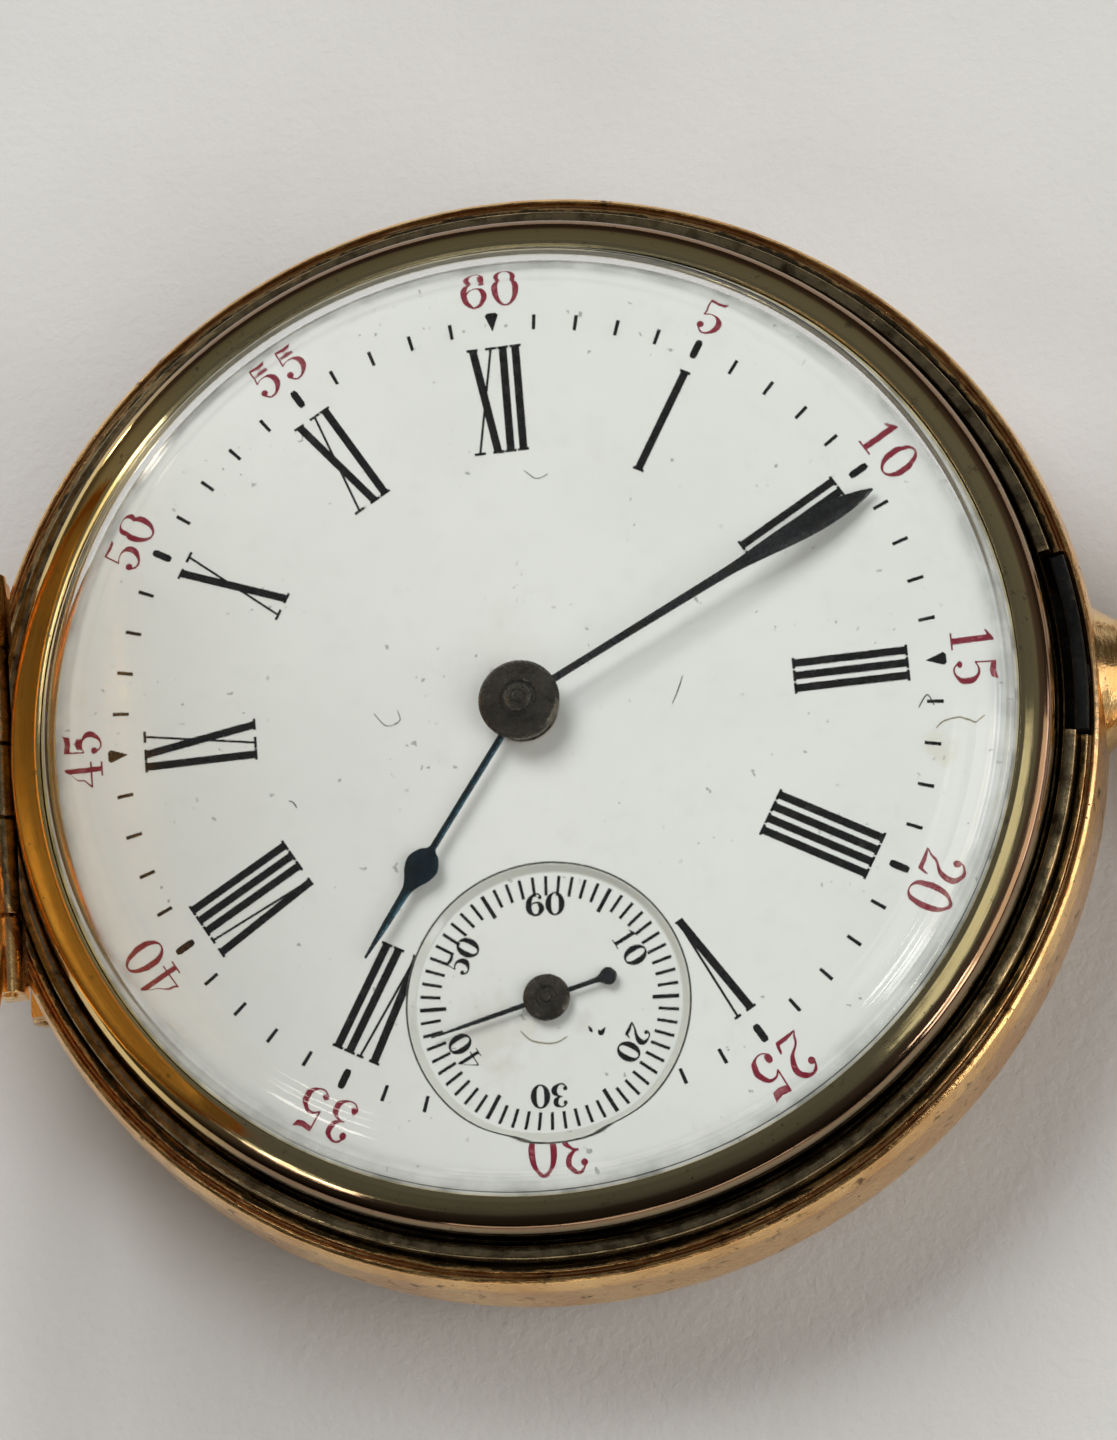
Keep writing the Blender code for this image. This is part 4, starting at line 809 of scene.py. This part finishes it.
def crown_and_stem():
    def flute(angle, r, z):
        depth = 0.5 - 0.5 * cos(20 * angle)
        inside = 20.72 < z < 22.2 and r > 1.9
        return -0.075 * (1 - abs(depth) ** 0.6) if inside else 0.0

    low, high = 20.45, 22.5
    profile = [(0, high), (0.9, high - 0.04, 0.8), (1.55, high - 0.14, 0.3)]
    profile += [(1.98, high - 0.3, 0.12), (2.14, high - 0.36, 0.06)]
    steps = 10
    profile += [(2.2, high - 0.42 - (high - low - 0.8) * i / steps) for i in range(steps + 1)]
    profile += [(2.1, low + 0.3, 0.06), (1.9, low + 0.2, 0.1), (1.6, low, 0.05)]
    profile += [(0.42, low), (0.42, 21.4), (0, 21.4)]
    shape = turned(profile, 240, (0, 0, STEM_Z), ALONG_X, flute)
    piece("fluted_crown", [shape], CROWN_GOLD, "crown_and_stem", "crown", slot="yellow_gold")
    stem = [
        (0, 21.3), (0.38, 21.3, 0.03), (0.38, 17.2, 0.03), (0.28, 17.1, 0.03),
        (0.28, 16.8, 0.03), (0.38, 16.7, 0.03), (0.38, 10.2, 0.05), (0.2, 10.1, 0.03),
        (0.2, 9.6, 0.05), (0, 9.6),
    ]
    shape = turned(stem, 48, (0, 0, STEM_Z), ALONG_X)
    piece("turned_stem", [shape], STEEL, "crown_and_stem", "winding_stem", slot="bright_steel")


def case_springs():
    catch = rounded_block(15.93, 16.36, *CATCH_ARC, 4.9, 6.42)
    web = sector_block(15.4, 16.1, -8, 8, 4.85, 5.45)
    strip = sector_block(15.2, 15.5, -62, 9, 4.8, 5.5, 60)
    shapes = [strip, web, catch]
    piece("lock_spring_and_catch", shapes, CATCH_STEEL, "catch", "lock_spring", slot="blued_steel")
    lift = sector_block(15.1, 15.42, 188, 262, 4.8, 5.5, 60)
    piece("lift_spring_strip", [lift], SPRING_STEEL, "case", "lift_spring", slot="blued_steel")


# ---- dial print ----
class Print:
    """Thin print on enamel, collected as flat faces. Overlapping strokes lie on separate levels."""

    def __init__(self, top):
        self.top = top
        self.shapes = []
        self.layer = 0

    def next_height(self):
        self.layer = (self.layer + 1) % 6
        return self.top + 0.004 + 0.0012 * self.layer

    def fill(self, outline):
        z = self.next_height()
        points = [Vector((x, y, z)) for x, y in outline]
        self.shapes.append((points, [tuple(range(len(points)))]))

    def strip(self, left, right):
        """Quads between two lines of points."""
        z = self.next_height()
        count = len(left)
        points = [Vector((x, y, z)) for x, y in list(left) + list(right)]
        faces = [(i, i + 1, count + i + 1, count + i) for i in range(count - 1)]
        self.shapes.append((points, faces))

    def ring(self, radius, width, middle=(0, 0), count=160):
        self.strip(*(arc(radius + side * width / 2, 0, 360, count + 1, middle) for side in (-1, 1)))

    def cut_out(self, middle, radius):
        """Cuts away what lies inside a circle."""
        lid_reflection_paint = []
        for points, faces in self.shapes:
            crossed = any(hypot(point.x - middle[0], point.y - middle[1]) < radius for point in points)
            if crossed and len(points) == 4:
                points, faces = sliced(points)
            away = [Vector((point.x - middle[0], point.y - middle[1], 0)) for point in points]
            left = [face for face in faces if any(away[i].length > radius for i in face)]
            used = sorted({i for face in left for i in face})
            order = {old: new for new, old in enumerate(used)}
            moved = [points[i] + away[i] * max(0.0, radius / away[i].length - 1) for i in used]
            if left:
                lid_reflection_paint.append((moved, [tuple(order[i] for i in face) for face in left]))
        self.shapes = lid_reflection_paint

    def place(self, outline, angle, radius, turn=0.0, middle=(0, 0)):
        """Local (u, v) points, u clockwise and v outward, at a clock angle and radius."""
        return [self.spot(u, v, angle, radius, turn, middle) for u, v in outline]

    @staticmethod
    def spot(u, v, angle, radius, turn, middle):
        a, t = radians(angle), radians(turn)
        u, v = u * cos(t) - v * sin(t), u * sin(t) + v * cos(t)
        return (
            middle[0] + (radius + v) * sin(a) + u * cos(a),
            middle[1] + (radius + v) * cos(a) - u * sin(a),
        )

    def write(self, marks, angle, radius, size=(1, 1), middle=(0, 0)):
        """Draws marks, each ("fill", outline) or ("stroke", points with widths), as one label."""
        for kind, data in marks:
            if kind == "fill":
                outline = [(u * size[0], v * size[1]) for u, v in data]
                self.fill(self.place(outline, angle, radius, middle=middle))
                continue
            left, right = stroke_sides(data)
            sides = [[(u * size[0], v * size[1]) for u, v in side] for side in (left, right)]
            self.strip(*(self.place(side, angle, radius, middle=middle) for side in sides))


def sliced(corners, count=40):
    """A quad cut into short slices along its longer sides."""
    a, b, c, d = corners
    if (b - a).length > (d - a).length:
        a, b, c, d = b, c, d, a
    points = [start.lerp(end, i / count) for start, end in ((a, d), (b, c)) for i in range(count + 1)]
    other = count + 1
    return points, [(i, other + i, other + i + 1, i + 1) for i in range(count)]


def stroke_sides(data, per=6):
    """Both edges of a pen stroke given by (x, y, width) points on a smooth curve."""
    route = curve_through(data, per)
    left, right = [], []
    for i, (x, y, width) in enumerate(route):
        before, after = route[max(i - 1, 0)], route[min(i + 1, len(route) - 1)]
        side = atan2(after[1] - before[1], after[0] - before[0]) + pi / 2
        dx, dy = width / 2 * cos(side), width / 2 * sin(side)
        left.append((x + dx, y + dy))
        right.append((x - dx, y - dy))
    return left, right


def ball(x, y, r, count=14):
    return ("fill", [(x + r * cos(TAU * i / count), y + r * sin(TAU * i / count)) for i in range(count)])


def ring_digit(rx, ry, side, top, count=40):
    """A zero, thick at its sides and thin at its ends, as two strokes."""
    marks = []
    for half in (0, 1):
        points = []
        for i in range(count // 2 + 1):
            a = pi / 2 + pi * half + TAU * i / count
            width = top + (side - top) * abs(cos(a)) ** 1.6
            points.append(((rx - width / 2) * cos(a), (ry - width / 2) * sin(a), width))
        marks.append(("stroke", points))
    return marks


def area(*points):
    return ("fill", points)


def pen(*points):
    """A stroke through (x, y, width) points."""
    return ("stroke", points)


def slab(left, right, low, high):
    return area((left, low), (right, low), (right, high), (left, high))


DIGITS = {
    "0": ring_digit(0.33, 0.5, 0.15, 0.045),
    "1": [
        area((-0.075, -0.46), (0.075, -0.46), (0.075, 0.5), (0.03, 0.5), (-0.075, 0.42)),
        slab(-0.21, 0.21, -0.5, -0.455),
        area((-0.22, 0.34), (-0.2, 0.32), (-0.07, 0.36), (-0.07, 0.44), (0.03, 0.5)),
    ],
    "2": [
        ball(-0.19, 0.27, 0.085),
        pen(
            (-0.25, 0.28, 0.04), (-0.19, 0.42, 0.045), (0.0, 0.475, 0.05), (0.19, 0.38, 0.13),
            (0.22, 0.2, 0.14), (0.1, -0.02, 0.09), (-0.12, -0.24, 0.05), (-0.27, -0.46, 0.04),
        ),
        area(
            (-0.3, -0.5), (0.24, -0.5), (0.31, -0.24), (0.27, -0.23), (0.19, -0.36), (0.0, -0.36),
            (-0.2, -0.42),
        ),
    ],
    "3": [
        ball(-0.18, 0.3, 0.08),
        pen(
            (-0.23, 0.31, 0.04), (-0.14, 0.44, 0.045), (0.0, 0.475, 0.05), (0.17, 0.36, 0.12),
            (0.16, 0.18, 0.12), (0.03, 0.06, 0.05), (-0.07, 0.04, 0.04),
        ),
        pen(
            (-0.05, 0.045, 0.04), (0.08, 0.02, 0.06), (0.22, -0.12, 0.13), (0.22, -0.3, 0.14),
            (0.07, -0.46, 0.06), (-0.1, -0.475, 0.045), (-0.24, -0.33, 0.045),
        ),
        ball(-0.18, -0.29, 0.085),
    ],
    "4": [
        area((0.05, -0.46), (0.18, -0.46), (0.18, 0.5), (0.12, 0.5), (0.05, 0.4)),
        slab(-0.06, 0.29, -0.5, -0.455),
        area((0.12, 0.5), (0.08, 0.44), (-0.27, -0.17), (-0.33, -0.17)),
        slab(-0.33, 0.31, -0.215, -0.165),
    ],
    "5": [
        area(
            (-0.19, 0.5), (-0.14, 0.5), (0.04, 0.47), (0.2, 0.5), (0.26, 0.52), (0.2, 0.36),
            (0.04, 0.335), (-0.15, 0.38),
        ),
        area((-0.19, 0.48), (-0.15, 0.48), (-0.18, 0.03), (-0.22, 0.03)),
        pen(
            (-0.2, 0.04, 0.04), (-0.07, 0.13, 0.045), (0.1, 0.11, 0.08), (0.22, -0.06, 0.14),
            (0.22, -0.27, 0.14), (0.07, -0.45, 0.06), (-0.1, -0.475, 0.045), (-0.23, -0.34, 0.045),
        ),
        ball(-0.18, -0.3, 0.085),
    ],
    "6": [
        ball(0.18, 0.31, 0.08),
        pen(
            (0.23, 0.34, 0.04), (0.12, 0.46, 0.045), (-0.04, 0.45, 0.06), (-0.2, 0.25, 0.13),
            (-0.255, -0.03, 0.15), (-0.2, -0.3, 0.13), (-0.03, -0.475, 0.05),
        ),
        pen(
            (-0.03, -0.475, 0.05), (0.14, -0.4, 0.09), (0.24, -0.18, 0.14), (0.17, 0.03, 0.11),
            (0.03, 0.1, 0.045), (-0.12, 0.03, 0.04), (-0.19, -0.08, 0.04),
        ),
    ],
}


def changed(marks, change):
    """Marks whose points have each gone through a change."""
    return [(kind, [change(*point) for point in data]) for kind, data in marks]


def number_marks(text, gap=0.76):
    """The digits of a number side by side, centred."""
    marks = []
    for i, digit in enumerate(text):
        shift = (i - (len(text) - 1) / 2) * gap
        marks += changed(DIGITS[digit], lambda u, v, *width: (u + shift, v, *width))
    return marks


def bolder(marks, share):
    """Marks with wider pen strokes."""
    return changed(marks, lambda u, v, *width: (u, v, *(w * share for w in width)))


def bar(x0, y0, x1, y1, width):
    """A straight bar whose ends are cut level."""
    half = width / 2
    return area((x0 - half, y0), (x0 + half, y0), (x1 + half, y1), (x1 - half, y1))


ROMAN_WIDTHS = {"I": 0.38, "V": 0.8, "X": 0.9}
THICK, THIN, SERIF = 0.24, 0.07, 0.08


def roman_marks(text, height):
    """A Roman numeral in mm, its foot at -height/2 and its top at height/2."""
    top, foot = height / 2, -height / 2
    total = sum(ROMAN_WIDTHS[c] for c in text)
    x = -total / 2
    marks, runs = [], []
    for c in text:
        width = ROMAN_WIDTHS[c]
        mid = x + width / 2
        if c == "I":
            marks.append(bar(mid, foot, mid, top, THICK))
            runs.append((mid - 0.17, mid + 0.17, True, True))
        elif c == "V":
            marks.append(bar(mid - 0.2, top, mid - 0.01, foot, THICK))
            marks.append(bar(mid + 0.25, top, mid + 0.03, foot, THIN))
            runs.append((mid - 0.37, mid - 0.04, True, False))
            runs.append((mid + 0.14, mid + 0.36, True, False))
            runs.append((mid - 0.13, mid + 0.13, False, True))
        else:
            marks.append(bar(mid - 0.27, top, mid + 0.27, foot, THICK))
            marks.append(bar(mid + 0.29, top, mid - 0.29, foot, THIN))
            for side in (-1, 1):
                middle = mid + side * 0.28
                runs.append((middle - 0.17, middle + 0.17, True, True))
        x += width
    for left, right, at_top, at_foot in runs:
        for wanted, y, inward in ((at_top, top, -1), (at_foot, foot, 1)):
            if wanted:
                marks.append(slab(left, right, y, y + inward * SERIF))
    return marks


ROMAN_HEIGHT, ROMAN_RADIUS = 3.34, 9.6
FIVES_SIZE, FIVES_RADIUS = 1.24, 13.15
QUARTER_MARK = [(0, -0.3), (0.2, 0.22), (0.13, 0.3), (-0.13, 0.3), (-0.2, 0.22)]
FIVE_SIDE = [(0.07, -0.3), (0.11, -0.2), (0.11, 0.2), (0.07, 0.3)]
FIVE_MARK = FIVE_SIDE + [(-u, v) for u, v in FIVE_SIDE[::-1]]
MINUTE_MARK = [(-0.05, -0.24), (0.05, -0.24), (0.055, 0.24), (-0.055, 0.24)]


def dial_print():
    black, red = Print(DIAL_TOP), Print(DIAL_TOP)
    for minute in range(60):
        angle = minute * 6
        if 28 < minute < 32:  # the seconds dial interrupts the track
            continue
        if minute % 15 == 0:
            black.fill(black.place(QUARTER_MARK, angle, 12.05))
        elif minute % 5 == 0:
            black.fill(black.place(FIVE_MARK, angle, 12.0))
        else:
            black.fill(black.place(MINUTE_MARK, angle, 11.97))
    hours = ("I", "II", "III", "IIII", "V", "", "VII", "VIII", "IX", "X", "XI", "XII")
    for i, text in enumerate(hours):
        if text:
            black.write(roman_marks(text, ROMAN_HEIGHT), (i + 1) * 30, ROMAN_RADIUS)
    for i in range(12):
        text = str((i + 1) * 5)
        red.write(number_marks(text), (i + 1) * 30, FIVES_RADIUS, (FIVES_SIZE, FIVES_SIZE))
    for ink in (black, red):
        ink.cut_out(SECONDS_MIDDLE, SECONDS_HOLE + 0.04)
    piece("dial_print_black", black.shapes, BLACK_INK, "case", slot="enamel")
    piece("dial_print_red", red.shapes, RED_INK, "case", slot="enamel")


HAIRS = (
    ((-7.1, -1.98, 0.03), (-6.96, -2.06, 0.04), (-6.87, -2.23, 0.03)),
    ((-4.4, 0.36, 0.02), (-4.07, -0.05, 0.03), (-3.66, 0.05, 0.03), (-3.7, 0.38, 0.02)),
    ((11.41, -1.38, 0.03), (11.69, -1.03, 0.04), (11.86, -1.36, 0.03)),
    ((4.73, 0.41, 0.02), (4.56, -0.01, 0.035), (4.36, -0.4, 0.02)),
    ((0.6, 7.3, 0.02), (0.95, 7.0, 0.03), (1.3, 7.1, 0.02)),
)
BROWN_THREAD = (
    (11.84, -2.05, 0.03),
    (12.11, -1.86, 0.05),
    (12.64, -1.82, 0.05),
    (13.02, -2.02, 0.05),
    (13.3, -1.85, 0.03),
)
SCRATCH = ((-0.86, -9.53, 0.03), (-0.53, -9.86, 0.05), (0.08, -9.99, 0.05), (0.48, -9.84, 0.03))
CHIPS = (
    ((1.1, -9.6, 0.02), (1.16, -9.72, 0.1), (1.2, -9.8, 0.02)),
    ((1.38, -9.74, 0.03), (1.45, -9.84, 0.16), (1.58, -9.7, 0.03)),
)


def dial_wear():
    """Hairs, a thread and chips that lie on the enamel."""
    for name, strokes, top, ink in (
        ("dial_hairs", HAIRS, DIAL_TOP, GREY_INK),
        ("dial_thread", (BROWN_THREAD,), DIAL_TOP, THREAD),
        ("seconds_dial_scratch", (SCRATCH,), SECONDS_TOP, THREAD),
        ("seconds_dial_chips", CHIPS, SECONDS_TOP, BLACK_INK),
    ):
        marks = Print(top)
        for stroke in strokes:
            marks.strip(*stroke_sides(stroke))
        piece(name, marks.shapes, ink, "case", slot="enamel")


SECONDS_SKEW = 3.0  # the seconds dial is fired in a little turned
TICK_END = 3.75
SECONDS_FIGURES = {"radius": 2.8, "size": (0.76, 0.68), "middle": (0, SECONDS_Y)}


def seconds_print():
    black = Print(SECONDS_TOP)
    for second in range(60):
        inner, half = (2.98, 0.06) if second % 10 == 5 else (3.16, 0.046)
        tick = slab(-half, half, inner, TICK_END)[1]
        black.fill(black.place(tick, second * 6 + SECONDS_SKEW, 0, middle=SECONDS_MIDDLE))
    for i in range(6):
        text = str((i + 1) * 10)
        black.write(bolder(number_marks(text), 1.5), (i + 1) * 60 + SECONDS_SKEW, **SECONDS_FIGURES)
    piece("seconds_print", black.shapes, BLACK_INK, "case", slot="enamel")


def dial():
    low = level("dial", False)
    opening = circle(SECONDS_HOLE, 128, SECONDS_MIDDLE)
    shape = plate([circle(DIAL_RADIUS, 256), opening, circle(1.0, 48)], low, DIAL_TOP, 0.06)
    piece("enamel_dial", [shape], DIAL_WHITE, "case", "dial", slot="enamel")
    wall = [
        (SECONDS_HOLE + 0.01, DIAL_TOP + 0.002, 0.02),
        (SECONDS_HOLE - 0.05, DIAL_TOP - 0.02, 0.04),
        (SECONDS_HOLE - 0.2, SECONDS_TOP + 0.01, 0.03),
        (SECONDS_HOLE - 0.24, SECONDS_TOP + 0.003), (SECONDS_HOLE - 0.24, SECONDS_TOP - 0.1),
        (SECONDS_HOLE + 0.01, SECONDS_TOP - 0.1),
    ]
    # the step's wall wears the darker enamel, painted shade for the recess
    piece("seconds_dial_step", [turned(wall, 160, (*SECONDS_MIDDLE, 0))], SHADED_STEP_ENAMEL, "case", slot="enamel")
    lines = Print(DIAL_TOP)
    lines.ring(SECONDS_HOLE + 0.01, 0.05, SECONDS_MIDDLE)
    # painted shade: a thin grey line in the crease at the foot of the step
    crease_shade_line = Print(SECONDS_TOP)
    crease_shade_line.ring(SECONDS_HOLE - 0.22, 0.02, SECONDS_MIDDLE)
    piece("seconds_dial_edge_line_and_crease_shade", lines.shapes + crease_shade_line.shapes, GREY_INK, "case", slot="enamel")
    outlines = [circle(SECONDS_HOLE - 0.03, 128, SECONDS_MIDDLE), circle(0.3, 32, (0, SECONDS_Y))]
    disc = plate(outlines, low, SECONDS_TOP, 0.03)
    piece("enamel_seconds_dial", [disc], DIAL_WHITE, "case", "seconds_dial", slot="enamel")


# ---- hands ----
def blade(stations, thickness):
    """A hand along +Y from (distance, half width, height) stations, with a rounded top."""
    half = ((1, 0.0), (1, 0.45), (0.75, 0.75), (0.35, 0.95))
    section = [(-u, lift) for u, lift in half] + [(0, 1.0)] + list(half[::-1])
    return lofted([[(u * w, y, z + thickness * lift) for u, lift in section] for y, w, z in stations])


def heading_turn(clock_degrees):
    return (0, 0, -radians(clock_degrees))


def hand_stations(points, per=7):
    return [(y, max(w, 0.012), z) for y, w, z in curve_through(points, per)]


def minute_hand():
    z = level("minute_hand", False) - 0.14
    outline = [
        (0.9, 0.115, z), (2.4, 0.11, z), (5.0, 0.125, z - 0.01), (7.2, 0.15, z - 0.04),
        (8.3, 0.24, z - 0.1), (9.3, 0.33, z - 0.2), (10.2, 0.35, z - 0.32),
        (11.0, 0.28, z - 0.44), (11.6, 0.16, z - 0.54), (12.0, 0.03, z - 0.6),
    ]
    shape = placed(blade(hand_stations(outline), 0.12), turn=heading_turn(MINUTE_HEADING))
    hub = [
        (0.36, z - 0.02), (1.19, z - 0.02, 0.05), (1.19, z + 0.1, 0.06), (1.08, z + 0.21, 0.08),
        (0.56, z + 0.29, 0.1), (0.5, z + 0.2, 0.04), (0.36, z + 0.2, 0.03),
    ]
    piece("minute_hand_blade", [shape], BLUE_STEEL, "center", "minute_hand", slot="blued_steel")
    top = level("center_pinion") + 0.02
    cap = [
        (0, top), (0.12, top, 0.02), (0.15, top + 0.04, 0.02), (0.19, top - 0.04, 0.02),
        (0.25, top + 0.04, 0.03), (0.37, top + 0.01, 0.04), (0.39, z), (0, z),
    ]
    piece("minute_hand_hub", [turned(hub, 96), turned(cap, 64)], HUB_STEEL, "center", slot="blued_steel")


def hour_hand():
    z = level("hour_hand", False) + 0.03
    outline = [
        (0.8, 0.1, z), (2.5, 0.1, z), (4.6, 0.1, z), (4.98, 0.12, z), (5.16, 0.32, z),
        (5.5, 0.49, z), (5.85, 0.42, z), (6.2, 0.22, z), (6.55, 0.13, z), (7.6, 0.1, z),
        (8.7, 0.03, z),
    ]
    shape = placed(blade(hand_stations(outline), 0.12), turn=heading_turn(HOUR_HEADING))
    piece("hour_hand_blade", [shape], BLUE_PEAR, "hour", "hour_hand", slot="blued_steel")
    boss = [(0.78, z - 0.02), (1.08, z - 0.02, 0.04), (1.08, z + 0.16, 0.06), (0.78, z + 0.2, 0.03)]
    piece("hour_hand_boss", [turned(boss, 64)], HUB_STEEL, "hour", slot="blued_steel")


def seconds_hand():
    z = level("seconds_hand", False) + 0.02
    at = (0, SECONDS_Y, 0)
    outline = [(0.4, 0.075, z), (1.2, 0.07, z), (2.4, 0.055, z), (3.5, 0.02, z)]
    tail = [(0.4, 0.075, z), (1.2, 0.07, z), (1.55, 0.09, z), (1.72, 0.2, z), (1.87, 0.26, z)]
    tail += [(2.02, 0.2, z), (2.12, 0.05, z)]
    pointer = placed(blade(hand_stations(outline), 0.09), at, heading_turn(SECONDS_HEADING))
    counter = placed(blade(hand_stations(tail), 0.09), at, heading_turn(SECONDS_HEADING - 180))
    shapes = [pointer, counter]
    piece("seconds_hand_pointer", shapes, BLUE_STEEL, "fourth", "seconds_hand", slot="blued_steel")
    boss = [
        (0, z + 0.22), (0.13, z + 0.21, 0.03), (0.17, z + 0.1, 0.02), (0.27, z + 0.1, 0.03),
        (0.32, z + 0.2, 0.03), (0.55, z + 0.17, 0.06), (0.68, z + 0.09, 0.06),
        (0.68, z - 0.02, 0.04), (0, z - 0.02),
    ]
    piece("seconds_hand_boss", [turned(boss, 64, at)], HUB_STEEL, "fourth", slot="blued_steel")


# ---- movement ----
def movement_finishes():
    finishes = {
        "rose_gold": ROSE,
        "yellow_gold": INSIDE_GOLD,
        "enamel": DIAL_WHITE,
        "glass": GLASS,
        "blued_steel": SPRING_STEEL,
        "bright_steel": STEEL,
        "nickel": NICKEL,
        "brass": BRASS,
    }
    slots = {part["node"]: part["material_slot"] for part in frame["record"]["subparts"]}
    for name, obj in NODES.items():
        for place in obj.material_slots:
            place.link = "OBJECT"
            place.material = finishes[slots[name]]


# ---- stage ----
CAMERA_PLACE = Vector((16.593, -41.429, 141.485)) * MM
CAMERA_FORWARD = Vector((-0.110774, 0.290877, -0.950326))
CAMERA_UP = Vector((0.116226, 0.953441, 0.278283))


def camera():
    data = bpy.data.cameras.new("camera")
    data.lens = 120.94
    data.sensor_width = 36
    data.clip_start = 0.005
    data.clip_end = 10
    obj = bpy.data.objects.new("camera", data)
    forward = CAMERA_FORWARD.normalized()
    up = CAMERA_UP.normalized()
    right = forward.cross(up).normalized()
    up = right.cross(forward)
    turn = Matrix((right, up, -forward)).transposed().to_4x4()
    obj.matrix_world = Matrix.Translation(CAMERA_PLACE) @ turn
    bpy.context.scene.collection.objects.link(obj)
    bpy.context.scene.camera = obj


FLOOR_HALF = 0.6


def floor():
    mesh = bpy.data.meshes.new("floor")
    signs = ((-1, -1), (1, -1), (1, 1), (-1, 1))
    corners = [(x * FLOOR_HALF, y * FLOOR_HALF, CAD_BOX[0][2]) for x, y in signs]
    mesh.from_pydata(corners, [], [(0, 1, 2, 3)])
    mesh.materials.append(FLOOR)
    obj = bpy.data.objects.new("floor", mesh)
    bpy.context.scene.collection.objects.link(obj)


def softbox(name, toward, width, height, radiance, tint=(1, 1, 1), distance=0.6, glossy=True):
    """A soft lamp that faces the watch from a direction, as bright as its radiance says."""
    data = bpy.data.lights.new(name, "AREA")
    data.shape = "RECTANGLE"
    data.size, data.size_y = width, height
    data.energy = radiance * pi * width * height
    data.color = tint
    obj = bpy.data.objects.new(name, data)
    obj.location = Vector(toward).normalized() * distance
    obj.rotation_euler = obj.location.to_track_quat("Z", "Y").to_euler()
    obj.visible_glossy = glossy
    obj.visible_transmission = glossy
    bpy.context.scene.collection.objects.link(obj)


def studio():
    """A dim room, brighter above, and soft lamps that stay out of the crystal's flat middle."""
    world = bpy.data.worlds.new("studio")
    bpy.context.scene.world = world
    world.use_nodes = True
    tree = world.node_tree
    tree.nodes.clear()
    kinds = ("TexCoord", "SeparateXYZ", "ValToRGB", "Background", "OutputWorld", "MapRange")
    place, parts, ramp, back, out, front = (tree.nodes.new("ShaderNode" + kind) for kind in kinds)
    tree.links.new(place.outputs["Generated"], parts.inputs[0])
    tree.links.new(parts.outputs["Z"], ramp.inputs[0])
    front.interpolation_type = "SMOOTHSTEP"
    front.inputs["From Min"].default_value = -0.75
    front.inputs["From Max"].default_value = -0.1
    front.inputs["To Min"].default_value = 0.22
    tree.links.new(parts.outputs["Y"], front.inputs["Value"])
    tree.links.new(ramp.outputs[0], back.inputs["Color"])
    tree.links.new(front.outputs["Result"], back.inputs["Strength"])
    tree.links.new(back.outputs[0], out.inputs["Surface"])
    stops = (
        (0.0, (0.045, 0.034, 0.026)),
        (0.28, (0.06, 0.048, 0.038)),
        (0.5, (0.13, 0.12, 0.10)),
        (0.72, (0.16, 0.155, 0.145)),
        (0.86, (0.12, 0.12, 0.12)),
        (1.0, (0.12, 0.122, 0.125)),
    )
    while len(ramp.color_ramp.elements) < len(stops):
        ramp.color_ramp.elements.new(0.5)
    for element, (place_at, colour) in zip(ramp.color_ramp.elements, stops):
        element.position = place_at
        element.color = (*colour, 1)
    softbox("key", (-0.30, 0.55, 0.80), 0.35, 0.35, 7.4, glossy=False)
    softbox("fill", (0.50, -0.30, 0.80), 0.40, 0.40, 2.4, glossy=False)
    softbox("left_window", (-0.62, 0.41, 0.67), 0.05, 0.035, 22)
    softbox("right_panel", (0.45, -0.03, 0.90), 0.28, 0.11, 0.85, (1.0, 0.98, 0.88))
    softbox("front_right", (0.70, -0.46, 0.53), 0.12, 0.025, 12, (0.98, 0.98, 1.0))
    softbox("front_right_low", (0.81, -0.52, 0.25), 0.12, 0.09, 5, (0.98, 0.98, 1.0))
    softbox("front_left", (-0.53, -0.44, 0.71), 0.12, 0.04, 9, (1.0, 0.95, 0.86))
    softbox("right_side", (0.98, 0.0, 0.17), 0.26, 0.06, 2.6, (0.86, 0.80, 1.0))
    softbox("lid_glow", (0.90, -0.20, 0.36), 0.50, 0.30, 1.6, (1.0, 0.92, 0.78), distance=0.7)
    softbox("back_left", (-0.66, 0.74, 0.05), 0.03, 0.03, 16, (1.0, 0.9, 0.75))
    softbox("low_front", (0.05, -0.93, 0.13), 0.6, 0.08, 1.5, (1.0, 0.93, 0.85))


camera()
floor()
studio()
movement_finishes()
case_middle()
hinge_pins()
bezel()
crystal()
front_cover()
back_cover()
dust_cover()
pendant()
bow()
crown_and_stem()
case_springs()
dial()
dial_print()
seconds_print()
dial_wear()
minute_hand()
hour_hand()
seconds_hand()

view = bpy.context.scene.view_settings
view.view_transform = "Standard"
